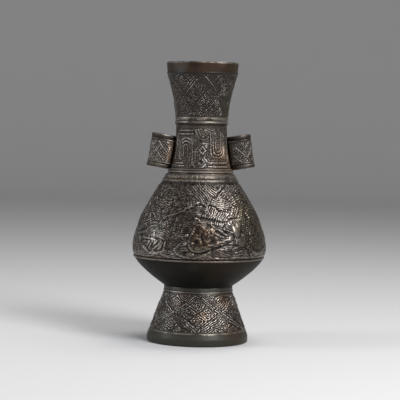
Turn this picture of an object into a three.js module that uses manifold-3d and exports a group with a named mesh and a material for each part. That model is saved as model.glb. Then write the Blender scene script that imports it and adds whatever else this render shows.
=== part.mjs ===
// Bronze arrow vase: five cast sections in lap joints, a floor plate and two tenoned ear tubes.
// Millimetres, +Z up. The origin is on the axis, at the level that the foot stands on.
import * as THREE from 'three';
import { mergeVertices } from 'three/addons/utils/BufferGeometryUtils.js';
import Module from 'manifold-3d';

const wasm = await Module();
wasm.setup();

// Heights of the cast sections along the axis
const FOOT_HEIGHT = 36.2;
const BOWL_HEIGHT = 18.2;
const BELLY_HEIGHT = 53.9;
const NECK_HEIGHT = 34.1;
const MOUTH_HEIGHT = 37.6;

// Outside radii
const FOOT_RADIUS = 32.6;
const SKIRT_RADIUS = 30.6; // lower end of the flared skirt, above the rim
const WAIST_RADIUS = 22;
const TURN_RADIUS = 41.8; // sharp turn between bowl and belly
const BELLY_RADIUS = 42.6;
const SWELL_RADIUS = 24.8; // upper end of the belly's swell
const SHOULDER_RADIUS = 21.4; // joint between belly and neck
const NECK_BASE_RADIUS = 19.7;
const NECK_RADIUS = 16.4;
const THROAT_RADIUS = 16.9; // lower end of the trumpet
const LIP_BASE_RADIUS = 22.6;
const LIP_RADIUS = 23.2;

// Walls and joints
const WALL = 2.6;
const FOOT_WALL = 2.8;
const SOCKET_WALL = 1.3;
const SPIGOT_WALL = 1.3; // of the bowl's spigot, inside the belly
const LAP_HEIGHT = 4;
const LAP_CLEARANCE = 0.3;
const EDGE_RADIUS = 0.7;

// Plain bands and mouldings
const RIM_HEIGHT = 8.4;
const RIM_STEP = 0.5;
const RIM_GROOVE = 0.8;
const COLLAR_HEIGHT = 3.6;
const COLLAR_REACH = 0.3;
const TURN_RIDGE = 1.3;
const TURN_RIDGE_REACH = 0.45;
const WIDEST_LEVEL = 4.6; // of the belly, above the turn
const SHOULDER_BAND = 5.8; // mouldings on the belly, below the joint
const SHOULDER_RIDGE = 3.4;
const SHOULDER_LINE = 1.6;
const SHOULDER_REACH = 0.5;
const SWELL_UPRIGHT = 0.41; // share of the swell's height that the widest part stands upright for
const SWELL_LEAN = 0.22; // share of the swell's height that the shoulder's slope runs straight for
const NECK_BAND = 3.6; // twin ridges on the neck, above the joint
const NECK_BAND_REACH = 0.35;
const BEAD_HEIGHT = 2.6;
const BEAD_REACH = 0.7;
const LIP_HEIGHT = 6.6;
const LIP_LINE = 1.1;
const LIP_LINE_REACH = 0.4;

// Floor plate
const PLATE_THICKNESS = 2.4;
const LEDGE_WIDTH = 2.2;
const LEDGE_THICKNESS = 2;
const PLATE_CHAMFER = 0.5;

// Ear tubes and their tenons
const EAR_RADIUS = 7.4;
const EAR_BORE_RADIUS = 5.6;
const EAR_LENGTH = 21.6;
const EAR_RISE = 14.4; // of the ear's middle, above the lower end of the neck
const EAR_TILT_DEGREES = 9;
const EAR_GAP = 0.65; // between tube and neck, filled by the seat
const EAR_BEAD = 2.6;
const EAR_BEAD_REACH = 0.35;
const EAR_LINE = 0.9;
const EAR_LINE_REACH = 0.3;
const SEAT_WIDTH = 6;
const SEAT_HEIGHT = 13;
const TENON_RADIUS = 1.6;
const TENON_SPACING = 7.6;
const TENON_PROUD = 0.5; // inside the neck

// Facets
const SEGMENTS = 44;
const EAR_SEGMENTS = 24;
const TENON_SEGMENTS = 12;
const CURVE_STEPS = 6;
const SWELL_STEPS = 10;
const INNER_STEPS = 5;
const BEAD_STEPS = 4;
const LINE_STEPS = 2;

const METALNESS = 0.85;

// Levels of the joints
const waistLevel = FOOT_HEIGHT;
const turnLevel = waistLevel + BOWL_HEIGHT;
const shoulderLevel = turnLevel + BELLY_HEIGHT;
const beadLevel = shoulderLevel + NECK_HEIGHT;
const lipLevel = beadLevel + MOUTH_HEIGHT;

const at = (radius, level) => new THREE.Vector2(radius, level);

// Half-round moulding on a wall, from its lower edge to its upper edge.
function bead(low, high, reach, steps = BEAD_STEPS) {
  const middle = low.clone().lerp(high, 0.5);
  const half = high.clone().sub(low).divideScalar(2);
  const outwards = at(half.y, -half.x).setLength(reach);
  const points = [];
  for (let step = 0; step <= steps; step += 1) {
    const angle = Math.PI * (step / steps - 0.5);
    const point = middle.clone().addScaledVector(half, Math.sin(angle));
    points.push(point.addScaledVector(outwards, Math.cos(angle)));
  }
  return points;
}

// Inner face of a wall of even thickness behind an outer curve that runs upwards, from top to bottom.
function innerFace(curve, wall) {
  const points = [];
  for (let step = INNER_STEPS; step >= 0; step -= 1) {
    const share = step / INNER_STEPS;
    const along = curve.getTangent(share);
    const outer = curve.getPoint(share);
    points.push(at(outer.x - wall * along.y, outer.y + wall * along.x));
  }
  return points;
}

const below = (points, level) => points.filter((point) => point.y < level);
const above = (points, level) => points.filter((point) => point.y > level);

// Place where a line of points passes a level.
function crossing(points, level) {
  const next = points.findIndex((point, i) => i > 0 && (point.y - level) * (points[i - 1].y - level) <= 0);
  const from = points[next - 1];
  const to = points[next];
  return from.clone().lerp(to, (level - from.y) / (to.y - from.y));
}

// Solid of revolution about +Z. The outline runs up the outside and down the inside.
function revolve(outline, segments) {
  const geometry = new THREE.LatheGeometry([...outline, outline[0].clone()], segments);
  return geometry.rotateX(Math.PI / 2);
}

function solidOf(geometry) {
  const bare = geometry.clone();
  bare.deleteAttribute('normal');
  bare.deleteAttribute('uv');
  const merged = mergeVertices(bare);
  const vertProperties = new Float32Array(merged.attributes.position.array);
  const triVerts = new Uint32Array(merged.index.array);
  return new wasm.Manifold(new wasm.Mesh({ numProp: 3, vertProperties, triVerts }));
}

function geometryOf(solid) {
  const mesh = solid.getMesh();
  const geometry = new THREE.BufferGeometry();
  geometry.setAttribute('position', new THREE.BufferAttribute(mesh.vertProperties, 3));
  geometry.setIndex(new THREE.BufferAttribute(mesh.triVerts, 1));
  geometry.computeVertexNormals();
  return geometry;
}

// Sizes that a spigot and its socket share, for a joint in a wall of the given outside radius.
function lapIn(wallRadius, wall) {
  const socketRadius = wallRadius - SOCKET_WALL;
  return {
    socketRadius,
    spigotRadius: socketRadius - LAP_CLEARANCE,
    boreRadius: wallRadius - wall,
    socketDepth: LAP_HEIGHT + LAP_CLEARANCE,
  };
}

const mouthLap = lapIn(NECK_RADIUS, WALL);
const shoulderLap = lapIn(SHOULDER_RADIUS, WALL);
const waistLap = lapIn(WAIST_RADIUS, FOOT_WALL);

// Outside curves of the walls, each from its lower end to its upper end
const skirtCurve = new THREE.QuadraticBezierCurve(
  at(SKIRT_RADIUS, RIM_HEIGHT + RIM_GROOVE),
  at((SKIRT_RADIUS + 5 * WAIST_RADIUS) / 6, (RIM_HEIGHT + 3 * waistLevel) / 4),
  at(WAIST_RADIUS, waistLevel - COLLAR_HEIGHT),
);
const bowlCurve = new THREE.QuadraticBezierCurve(
  at(WAIST_RADIUS, waistLevel),
  at((WAIST_RADIUS + 4 * TURN_RADIUS) / 5, (2 * waistLevel + 3 * turnLevel) / 5),
  at(TURN_RADIUS, turnLevel),
);
const widestLevel = turnLevel + WIDEST_LEVEL;
const swellLevel = shoulderLevel - SHOULDER_BAND;
const swellHeight = swellLevel - widestLevel;
const swellCurve = new THREE.CubicBezierCurve(
  at(BELLY_RADIUS, widestLevel),
  at(BELLY_RADIUS, widestLevel + swellHeight * SWELL_UPRIGHT),
  at((2 * SWELL_RADIUS + BELLY_RADIUS) / 3, swellLevel - swellHeight * SWELL_LEAN),
  at(SWELL_RADIUS, swellLevel),
);
const neckBottom = shoulderLevel + NECK_BAND;
const neckTop = beadLevel - BEAD_HEIGHT;
const neckCurve = new THREE.QuadraticBezierCurve(
  at(NECK_BASE_RADIUS, neckBottom),
  at(NECK_RADIUS, (neckBottom + neckTop) / 2),
  at(NECK_RADIUS, neckTop),
);
const trumpetBottom = beadLevel + BEAD_HEIGHT;
const lipBottom = lipLevel - LIP_HEIGHT;
const trumpetCurve = new THREE.QuadraticBezierCurve(
  at(THROAT_RADIUS, trumpetBottom),
  at(THROAT_RADIUS, (2 * trumpetBottom + lipBottom) / 3),
  at(LIP_BASE_RADIUS, lipBottom - LIP_LINE),
);

function footSkirt() {
  const step = waistLevel - waistLap.socketDepth;
  const inside = innerFace(skirtCurve, FOOT_WALL);
  return revolve([
    at(FOOT_RADIUS - EDGE_RADIUS, 0),
    at(FOOT_RADIUS, EDGE_RADIUS),
    at(FOOT_RADIUS, RIM_HEIGHT / 2),
    at(SKIRT_RADIUS + RIM_STEP, RIM_HEIGHT),
    at(SKIRT_RADIUS - RIM_STEP / 2, RIM_HEIGHT + RIM_GROOVE / 2),
    ...skirtCurve.getPoints(CURVE_STEPS),
    at(WAIST_RADIUS + COLLAR_REACH, waistLevel - COLLAR_HEIGHT + COLLAR_REACH),
    at(WAIST_RADIUS + COLLAR_REACH, waistLevel),
    at(waistLap.socketRadius, waistLevel),
    at(waistLap.socketRadius, step),
    at(waistLap.boreRadius, step),
    ...below(inside, step - LAP_CLEARANCE),
    at(FOOT_RADIUS - FOOT_WALL - EDGE_RADIUS, RIM_HEIGHT / 2),
    at(FOOT_RADIUS - FOOT_WALL - EDGE_RADIUS, 0),
  ], SEGMENTS);
}

const ledgeRadius = waistLap.spigotRadius - WALL;
const plateRadius = ledgeRadius + LEDGE_WIDTH;
const ledgeLevel = waistLevel + LEDGE_THICKNESS;
const floorLevel = ledgeLevel + PLATE_THICKNESS;
const turnSocketRadius = TURN_RADIUS - WALL;
const turnSpigotRadius = turnSocketRadius - LAP_CLEARANCE;

function lowerBowl() {
  const inside = innerFace(bowlCurve, WALL);
  const spigotBore = turnSpigotRadius - SPIGOT_WALL;
  return revolve([
    at(waistLap.spigotRadius, waistLevel - LAP_HEIGHT),
    at(waistLap.spigotRadius, waistLevel),
    ...bowlCurve.getPoints(CURVE_STEPS),
    at(turnSpigotRadius, turnLevel),
    at(turnSpigotRadius, turnLevel + LAP_HEIGHT),
    at(spigotBore, turnLevel + LAP_HEIGHT),
    at(spigotBore, turnLevel - SPIGOT_WALL),
    ...above(inside, floorLevel).filter((point) => point.x < spigotBore),
    crossing(inside, floorLevel),
    at(plateRadius + LAP_CLEARANCE, floorLevel),
    at(plateRadius + LAP_CLEARANCE, ledgeLevel),
    at(ledgeRadius, ledgeLevel),
    at(ledgeRadius, waistLevel - LAP_HEIGHT),
  ], SEGMENTS);
}

function floorPlate() {
  return revolve([
    at(0, ledgeLevel),
    at(plateRadius, ledgeLevel),
    at(plateRadius, floorLevel - PLATE_CHAMFER),
    at(plateRadius - PLATE_CHAMFER, floorLevel),
    at(0, floorLevel),
  ], SEGMENTS);
}

function bellySection() {
  const socketTop = turnLevel + LAP_HEIGHT + LAP_CLEARANCE;
  const step = shoulderLevel - shoulderLap.socketDepth;
  const joint = at(SHOULDER_RADIUS, shoulderLevel);
  const swellTop = at(SWELL_RADIUS, swellLevel);
  const ridgeLow = joint.clone().lerp(swellTop, SHOULDER_RIDGE / SHOULDER_BAND);
  const lineLow = joint.clone().lerp(swellTop, (SHOULDER_RIDGE + SHOULDER_LINE) / SHOULDER_BAND);
  const inside = innerFace(swellCurve, WALL);
  return revolve([
    ...bead(at(TURN_RADIUS, turnLevel), at(TURN_RADIUS, turnLevel + TURN_RIDGE), TURN_RIDGE_REACH, LINE_STEPS),
    ...swellCurve.getPoints(SWELL_STEPS),
    ...bead(lineLow, ridgeLow, SHOULDER_REACH, LINE_STEPS),
    ...bead(ridgeLow, joint, SHOULDER_REACH).slice(1),
    at(shoulderLap.socketRadius, shoulderLevel),
    at(shoulderLap.socketRadius, step),
    ...above(below(inside, step), socketTop),
    at(turnSocketRadius, socketTop),
    at(turnSocketRadius, turnLevel),
  ], SEGMENTS);
}

// Outside of the neck from its seat on the belly to its seat under the mouth
const neckSeat = at(SHOULDER_RADIUS, shoulderLevel);
const neckFoot = at(NECK_BASE_RADIUS, neckBottom);
const betweenRidges = neckSeat.clone().lerp(neckFoot, 0.5);
const neckOutside = [
  ...bead(neckSeat, betweenRidges, NECK_BAND_REACH, LINE_STEPS),
  ...bead(betweenRidges, neckFoot, NECK_BAND_REACH, LINE_STEPS).slice(1),
  ...neckCurve.getPoints(CURVE_STEPS).slice(1),
  ...bead(at(NECK_RADIUS, neckTop), at(NECK_RADIUS, beadLevel), BEAD_REACH).slice(1),
];

function neckSection() {
  const step = beadLevel - mouthLap.socketDepth;
  const inside = innerFace(neckCurve, WALL);
  return revolve([
    at(shoulderLap.spigotRadius, shoulderLevel - LAP_HEIGHT),
    at(shoulderLap.spigotRadius, shoulderLevel),
    ...neckOutside,
    at(mouthLap.socketRadius, beadLevel),
    at(mouthLap.socketRadius, step),
    crossing(inside, step),
    ...below(inside, step),
    at(shoulderLap.boreRadius, shoulderLevel),
    at(shoulderLap.boreRadius, shoulderLevel - LAP_HEIGHT),
  ], SEGMENTS);
}

function mouthSection() {
  const inside = above(innerFace(trumpetCurve, WALL), trumpetBottom);
  const lineLow = at(LIP_BASE_RADIUS, lipBottom - LIP_LINE);
  return revolve([
    at(mouthLap.spigotRadius, beadLevel - LAP_HEIGHT),
    at(mouthLap.spigotRadius, beadLevel),
    ...bead(at(NECK_RADIUS, beadLevel), at(NECK_RADIUS, trumpetBottom), BEAD_REACH),
    ...trumpetCurve.getPoints(CURVE_STEPS),
    ...bead(lineLow, at(LIP_BASE_RADIUS, lipBottom), LIP_LINE_REACH, LINE_STEPS).slice(1),
    at(LIP_RADIUS, lipLevel - EDGE_RADIUS),
    at(LIP_RADIUS - EDGE_RADIUS, lipLevel),
    at(LIP_RADIUS - WALL + EDGE_RADIUS, lipLevel),
    at(LIP_RADIUS - WALL, lipLevel - EDGE_RADIUS),
    ...inside,
    at(mouthLap.boreRadius, beadLevel),
    at(mouthLap.boreRadius, beadLevel - LAP_HEIGHT),
  ], SEGMENTS);
}

// Radius of the neck's outside at a level between its ridge and its bead.
function neckRadiusAt(level) {
  return crossing(neckCurve.getPoints(CURVE_STEPS), level).x;
}

const earTilt = THREE.MathUtils.degToRad(EAR_TILT_DEGREES);
const earLevel = shoulderLevel + EAR_RISE;
const earOffset = neckRadiusAt(earLevel) + EAR_GAP + EAR_RADIUS;

// Places an ear on the +X side. Its bore leans in at the top, along the taper of the neck.
function placeEar(object) {
  object.position.set(earOffset, 0, earLevel);
  object.rotation.y = -earTilt;
  object.updateMatrix();
  return object;
}

const earMatrix = placeEar(new THREE.Object3D()).matrix;

// Rod along X between two places in the ear's own frame, at a height on the ear.
function rod(radius, from, to, height) {
  const geometry = new THREE.CylinderGeometry(radius, radius, to - from, TENON_SEGMENTS);
  geometry.rotateZ(Math.PI / 2);
  return geometry.translate((from + to) / 2, 0, height);
}

const tenonHeights = [-TENON_SPACING / 2, TENON_SPACING / 2];
const tenonRoot = -(EAR_RADIUS + EAR_BORE_RADIUS) / 2;

// Inner end of a tenon, just proud of the neck's inner wall at its own level.
function tenonEnd(height) {
  const level = earLevel + height * Math.cos(earTilt);
  const offset = earOffset - height * Math.sin(earTilt);
  const bore = neckRadiusAt(level) - WALL;
  return -(offset - bore + TENON_PROUD) / Math.cos(earTilt);
}

function earTube() {
  const half = EAR_LENGTH / 2;
  const beadFrom = half - EAR_BEAD;
  const lineTo = beadFrom - EAR_LINE / 2;
  const lineFrom = lineTo - EAR_LINE;
  const onTube = (height) => at(EAR_RADIUS, height);
  const tube = revolve([
    ...bead(onTube(-half), onTube(-beadFrom), EAR_BEAD_REACH),
    ...bead(onTube(-lineTo), onTube(-lineFrom), EAR_LINE_REACH, LINE_STEPS),
    ...bead(onTube(lineFrom), onTube(lineTo), EAR_LINE_REACH, LINE_STEPS),
    ...bead(onTube(beadFrom), onTube(half), EAR_BEAD_REACH),
    at(EAR_BORE_RADIUS, half),
    at(EAR_BORE_RADIUS, -half),
  ], EAR_SEGMENTS);
  const seatDepth = EAR_RADIUS + tenonRoot + EAR_GAP + SEAT_WIDTH / 2;
  const seat = new THREE.BoxGeometry(seatDepth, SEAT_WIDTH, SEAT_HEIGHT);
  seat.translate(tenonRoot - seatDepth / 2, 0, 0);
  const wider = neckOutside.map((point) => at(point.x + LAP_CLEARANCE, point.y));
  const core = revolve([at(0, shoulderLevel), ...wider, at(0, beadLevel)], SEGMENTS);
  core.applyMatrix4(earMatrix.clone().invert());
  let ear = solidOf(tube).add(solidOf(seat)).subtract(solidOf(core));
  for (const height of tenonHeights) {
    ear = ear.add(solidOf(rod(TENON_RADIUS, tenonEnd(height), tenonRoot, height)));
  }
  return geometryOf(ear);
}

// The neck with a hole for each tenon of both ears.
function drilledNeck() {
  let neck = solidOf(neckSection());
  for (const turn of [0, Math.PI]) {
    for (const height of tenonHeights) {
      const hole = rod(TENON_RADIUS + LAP_CLEARANCE, tenonEnd(height) - WALL, tenonRoot, height);
      hole.applyMatrix4(earMatrix).rotateZ(turn);
      neck = neck.subtract(solidOf(hole));
    }
  }
  return geometryOf(neck);
}

const vase = new THREE.Group();

function addPiece(parent, name, geometry, color, roughness) {
  const material = new THREE.MeshStandardMaterial({ color, roughness, metalness: METALNESS });
  const piece = new THREE.Mesh(geometry, material);
  piece.name = name;
  parent.add(piece);
  return piece;
}

addPiece(vase, 'foot_skirt', footSkirt(), '#4a443a', 0.5);
addPiece(vase, 'lower_bowl', lowerBowl(), '#2f2d28', 0.42);
addPiece(vase, 'floor_plate', floorPlate(), '#2b2722', 0.65);
addPiece(vase, 'belly_section', bellySection(), '#4d443a', 0.5);
addPiece(vase, 'neck_section', drilledNeck(), '#51493f', 0.48);
addPiece(vase, 'mouth_section', mouthSection(), '#564538', 0.5);

const earGeometry = earTube();
const earSides = { right_ear_tube: 0, left_ear_tube: Math.PI };
for (const [name, turn] of Object.entries(earSides)) {
  const side = new THREE.Group();
  side.rotation.z = turn;
  vase.add(side);
  placeEar(addPiece(side, name, earGeometry, '#50473c', 0.5));
}

export default vase;
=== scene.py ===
import math
import bmesh
import bpy
import numpy as np
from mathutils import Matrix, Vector


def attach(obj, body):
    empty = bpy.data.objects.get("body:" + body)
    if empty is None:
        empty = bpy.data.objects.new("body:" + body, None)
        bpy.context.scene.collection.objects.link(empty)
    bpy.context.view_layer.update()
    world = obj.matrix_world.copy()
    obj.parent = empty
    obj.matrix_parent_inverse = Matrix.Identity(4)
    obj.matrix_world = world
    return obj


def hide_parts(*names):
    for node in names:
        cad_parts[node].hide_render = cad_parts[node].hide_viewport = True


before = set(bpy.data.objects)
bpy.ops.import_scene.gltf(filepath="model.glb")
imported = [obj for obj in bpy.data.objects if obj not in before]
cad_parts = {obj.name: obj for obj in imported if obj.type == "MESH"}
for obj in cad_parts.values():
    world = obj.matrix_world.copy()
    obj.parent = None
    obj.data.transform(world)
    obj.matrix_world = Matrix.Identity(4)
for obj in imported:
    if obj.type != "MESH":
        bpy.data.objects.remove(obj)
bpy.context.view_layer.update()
mm = 0.001
print("frame loaded:", len(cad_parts), "nodes")


# node shorthand: a wire is a node's output, and sums of wires are written as plain arithmetic
class wire:
    def __init__(self, tree, socket):
        self.tree = tree
        self.socket = socket

    def __add__(self, other):
        return do("ADD", self, other)

    def __radd__(self, other):
        return do("ADD", other, self)

    def __sub__(self, other):
        return do("SUBTRACT", self, other)

    def __rsub__(self, other):
        return do("SUBTRACT", other, self)

    def __mul__(self, other):
        return do("MULTIPLY", self, other)

    def __truediv__(self, other):
        return do("DIVIDE", self, other)

    def __rtruediv__(self, other):
        return do("DIVIDE", other, self)


def feed(tree, socket, value):
    if isinstance(value, wire):
        tree.links.new(value.socket, socket)
    elif socket.type == "RGBA" and len(value) == 3:
        socket.default_value = (*value, 1.0)
    else:
        socket.default_value = value


def addNode(tree, kind, inputs=None, **settings):
    node = tree.nodes.new(kind)
    for key, value in settings.items():
        setattr(node, key, value)
    for key, value in (inputs or {}).items():
        feed(tree, node.inputs[key], value)
    return node


def put(tree, kind, inputs=None, output=0, **settings):
    return wire(tree, addNode(tree, kind, inputs, **settings).outputs[output])


def do(operation, *values):
    tree = next(value.tree for value in values if isinstance(value, wire))
    return put(tree, "ShaderNodeMath", dict(enumerate(values)), operation=operation)


def ramp(value, zeroAt, oneAt):  # smooth step from 0 at the first value to 1 at the second
    sockets = {"Value": value, "From Min": zeroAt, "From Max": oneAt}
    return put(value.tree, "ShaderNodeMapRange", sockets, interpolation_type="SMOOTHSTEP")


def split(vector):
    parts = addNode(vector.tree, "ShaderNodeSeparateXYZ", {0: vector}).outputs
    return [wire(vector.tree, part) for part in parts]


def noise(place, scale, detail, seed=None, output=0, roughness=0.5):
    inputs = {"Vector": place, "Scale": scale, "Detail": detail, "Roughness": roughness}
    if seed is None:
        return put(place.tree, "ShaderNodeTexNoise", inputs, output)
    return put(place.tree, "ShaderNodeTexNoise", {**inputs, "W": seed}, output, noise_dimensions="4D")


def blend(share, first, second, kind="MIX"):
    sockets = {0: share, 6: first, 7: second}
    return put(share.tree, "ShaderNodeMix", sockets, 2, data_type="RGBA", blend_type=kind)


def newTree(name, kind, inputs, outputs):  # an input is given by its first value, or by its kind in words
    valueKinds = {int: "Int", float: "Float", tuple: "Color"}
    tree = bpy.data.node_groups.new(name, kind)
    for label, value in inputs.items():
        socketKind = value if isinstance(value, str) else valueKinds[type(value)]
        socket = tree.interface.new_socket(label, in_out="INPUT", socket_type="NodeSocket" + socketKind)
        if value != socketKind:
            socket.default_value = value
    for label, socketKind in outputs.items():
        tree.interface.new_socket(label, in_out="OUTPUT", socket_type="NodeSocket" + socketKind)
    given = addNode(tree, "NodeGroupInput").outputs
    return tree, {socket.name: wire(tree, socket) for socket in given if socket.name}


def endTree(tree, geometry, lift, material):  # moves a surface along its normals and dresses it
    normal = put(tree, "GeometryNodeInputNormal")
    shift = put(tree, "ShaderNodeVectorMath", {0: normal, "Scale": lift}, operation="SCALE")
    moved = put(tree, "GeometryNodeSetPosition", {"Geometry": geometry, "Offset": shift})
    smooth = put(tree, "GeometryNodeSetShadeSmooth", {"Geometry": moved})
    real = put(tree, "GeometryNodeRealizeInstances", {"Geometry": smooth})
    dressed = put(tree, "GeometryNodeSetMaterial", {"Geometry": real, "Material": material})
    addNode(tree, "NodeGroupOutput", {"Geometry": dressed})


def bakeModifiers(piece):
    bpy.context.view_layer.update()
    evaluated = piece.evaluated_get(bpy.context.evaluated_depsgraph_get())
    mesh = bpy.data.meshes.new_from_object(evaluated)
    piece.modifiers.clear()
    old = piece.data
    piece.data = mesh
    bpy.data.meshes.remove(old)


def runTree(piece, tree, values):
    modifier = piece.modifiers.new(tree.name, "NODES")
    modifier.node_group = tree
    for item in tree.interface.items_tree:
        if item.in_out == "INPUT" and item.name in values:
            modifier[item.identifier] = values[item.name]
    bakeModifiers(piece)
    piece.data.materials.clear()
    piece.data.materials.append(values["Material"])
    piece.data.polygons.foreach_set("material_index", np.zeros(len(piece.data.polygons), np.int32))


def newPiece(name, data=None):
    piece = bpy.data.objects.new(name, data or bpy.data.meshes.new(name))
    bpy.context.scene.collection.objects.link(piece)
    return piece


# turned wall: an outline swept round the axis, with the slight wander of a wax model
def turnedWallTree():
    tree, given = newTree("turnedWall", "GeometryNodeTree", {
        "Geometry": "Geometry", "Outline": "Object", "Columns": 96, "Closed": 1, "Wander": 0.0001,
        "Wander Size": 0.02, "Skin": 0.00004, "Skin Size": 0.0016, "Seed": 3.0, "Material": "Material",
    }, {"Geometry": "Geometry"})
    columns, seed, seam = given["Columns"], given["Seed"], 0.000002
    outline = put(tree, "GeometryNodeObjectInfo", {"Object": given["Outline"]}, "Geometry")
    points = put(tree, "GeometryNodeAttributeDomainSize", {0: outline}, "Point Count", component="CURVE")
    rows = points + given["Closed"]
    grid = put(tree, "GeometryNodeMeshGrid", {"Vertices X": columns + 1.0, "Vertices Y": rows})
    index = put(tree, "GeometryNodeInputIndex")
    column = do("FLOOR", index / rows)
    row = do("MODULO", index - column * rows, points)
    angle = column * math.tau / columns
    position = put(tree, "GeometryNodeInputPosition")
    sample = {"Geometry": outline, "Value": position, "Index": row}
    radius, _, level = split(put(tree, "GeometryNodeSampleIndex", sample, data_type="FLOAT_VECTOR"))
    ring = {0: radius * do("SINE", angle), 1: radius * (do("COSINE", angle) * -1.0), 2: level}
    place = put(tree, "ShaderNodeCombineXYZ", ring)
    wall = put(tree, "GeometryNodeSetPosition", {"Geometry": grid, "Position": place})
    whole = put(tree, "GeometryNodeMergeByDistance", {"Geometry": wall, "Distance": seam})
    wander = (noise(position, 1.0 / given["Wander Size"], 1.0, seed) - 0.5) * given["Wander"]
    skin = (noise(position, 1.0 / given["Skin Size"], 3.0, seed) - 0.5) * given["Skin"]
    endTree(tree, whole, wander + skin, given["Material"])
    return tree


# lozenge lattice with square curls, raised on a turned wall
def latticeTree():
    tree, given = newTree("latticeRelief", "GeometryNodeTree", {
        "Geometry": "Geometry", "Bottom": 0.0, "Top": 0.02, "Repeats": 5.0, "Tiers": 1.0, "Reach": 0.018,
        "Strap": 0.0007, "Line Place": 0.0017, "Line Width": 0.0003, "Curl Place": 0.0025, "Curl Turns": 2.0,
        "Relief": 0.0006, "Grain": 0.0003, "Wobble": 0.05, "Wear": 0.6, "Seed": 1.0, "Material": "Material",
    }, {"Geometry": "Geometry"})
    bottom, top, reach, seed = (given[label] for label in ("Bottom", "Top", "Reach", "Seed"))
    soft, edge, outer = 0.00022, 0.0007, 0.001  # of the straps' sides, the zone's ends and the outer face
    driftScale, shakeScale, grainScale, shakeShare = 170.0, 650.0, 1100.0, 0.35
    lineShare, curlShare, ground = 0.85, 0.8, 0.4  # heights against the strap, and the level cut down to
    curlSides, curlEnd, soundRange, unchipped = (-0.2, 0.7), (1.0, 0.9), (0.3, 0.6), 0.55

    def wobble(slow, quick):
        return (slow + (quick - 0.5) * shakeShare - 0.5) * given["Wobble"]

    def strip(gap, half):
        return ramp(gap, half + soft, half - soft)

    position = put(tree, "GeometryNodeInputPosition")
    x, y, z = split(position)
    driftX, driftY, worn = split(noise(position, driftScale, 1.0, seed, "Color"))
    shakeX, shakeY, chip = split(noise(position, shakeScale, 1.0, seed, "Color"))
    around = do("ARCTAN2", x, y * -1.0) / math.tau * given["Repeats"] + wobble(driftX, shakeX)
    height = (z - bottom) / (top - bottom) * given["Tiers"] + wobble(driftY, shakeY)
    rise = do("ABSOLUTE", do("FRACT", around + height) - 0.5)  # place in a lozenge, along its two sides
    fall = do("ABSOLUTE", do("FRACT", around - height) - 0.5)
    gap = (0.5 - do("MAXIMUM", rise, fall)) * reach  # from the strap's middle
    strap = strip(gap, given["Strap"])
    line = strip(do("ABSOLUTE", gap - given["Line Place"]), given["Line Width"])
    half = 0.5 - given["Curl Place"] / reach
    curlX, curlY = rise / half * 2.0 - 1.0, fall / half * 2.0 - 1.0  # four curls in each lozenge
    ring = do("MAXIMUM", do("ABSOLUTE", curlX), do("ABSOLUTE", curlY))
    phase = ring * given["Curl Turns"] + do("ARCTAN2", curlY, curlX) / math.tau
    curl = ramp(do("COSINE", phase * math.tau), *curlSides) * ramp(ring, *curlEnd)
    raised = do("MAXIMUM", strap, do("MAXIMUM", line * lineShare, curl * curlShare))
    sound = ramp(worn, *soundRange) * (unchipped + ramp(chip, *soundRange) * (1.0 - unchipped))
    raised = raised * (1.0 - (1.0 - sound) * given["Wear"])
    outward = {0: put(tree, "GeometryNodeInputNormal"), 1: put(tree, "ShaderNodeCombineXYZ", {0: x, 1: y})}
    facing = put(tree, "ShaderNodeVectorMath", outward, "Value", operation="DOT_PRODUCT")
    inZone = ramp(z, bottom, bottom + edge) * ramp(z, top, top - edge) * ramp(facing, 0.0, outer)
    grain = (noise(position, grainScale, 1.0, seed) - 0.5) * given["Grain"]
    lift = ((raised - ground) * given["Relief"] + grain) * inZone
    endTree(tree, given["Geometry"], lift, given["Material"])
    return tree


turnedWall = turnedWallTree()
latticeRelief = latticeTree()


def pt(*values):  # radius and level, in turn
    return np.array(values, float).reshape(-1, 2)


def ease01(value):
    value = np.clip(value, 0, 1)
    return value * value * (3 - 2 * value)


def between(level, low, high, soft, softTop=None):  # 1 from the low level to the high one, with soft ends
    return ease01((level - low) / soft) * ease01((high - level) / (softTop or soft))


def bow(low, pull, high, gap):  # quadratic curve in short steps
    low, pull, high = pt(*low), pt(*pull), pt(*high)
    steps = max(2, int(math.ceil((np.linalg.norm(pull - low) + np.linalg.norm(high - pull)) / gap)))
    t = np.linspace(0, 1, steps + 1)[:, None]
    s = 1 - t
    return s ** 2 * low + 2 * t * s * pull + t * t * high


def swell(low, lowPull, highPull, high, gap, slack=1.08):  # cubic curve, a little longer than its chord
    low, lowPull, highPull, high = pt(*low), pt(*lowPull), pt(*highPull), pt(*high)
    steps = int(math.ceil(np.linalg.norm(high - low) * slack / gap))
    t = np.linspace(0, 1, steps + 1)[:, None]
    s = 1 - t
    return s ** 3 * low + 3 * t * s ** 2 * lowPull + 3 * t * t * s * highPull + t ** 3 * high


def bead(low, high, reach, steps):  # half-round moulding between two places on a wall
    low, high = pt(*low), pt(*high)
    half = (high - low) / 2
    outwards = np.array([[half[0, 1], -half[0, 0]]])
    outwards *= reach / np.linalg.norm(outwards)
    angle = (np.linspace(0, 1, steps + 1)[:, None] - 0.5) * math.pi
    return (low + high) / 2 + half * np.sin(angle) + outwards * np.cos(angle)


def insideOf(curve, wall):  # inner face of an even wall, from top to bottom
    along = np.gradient(curve, axis=0)
    along /= np.linalg.norm(along, axis=1)[:, None]
    inner = np.column_stack([curve[:, 0] - wall * along[:, 1], curve[:, 1] + wall * along[:, 0]])
    return inner[::-1]


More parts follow.
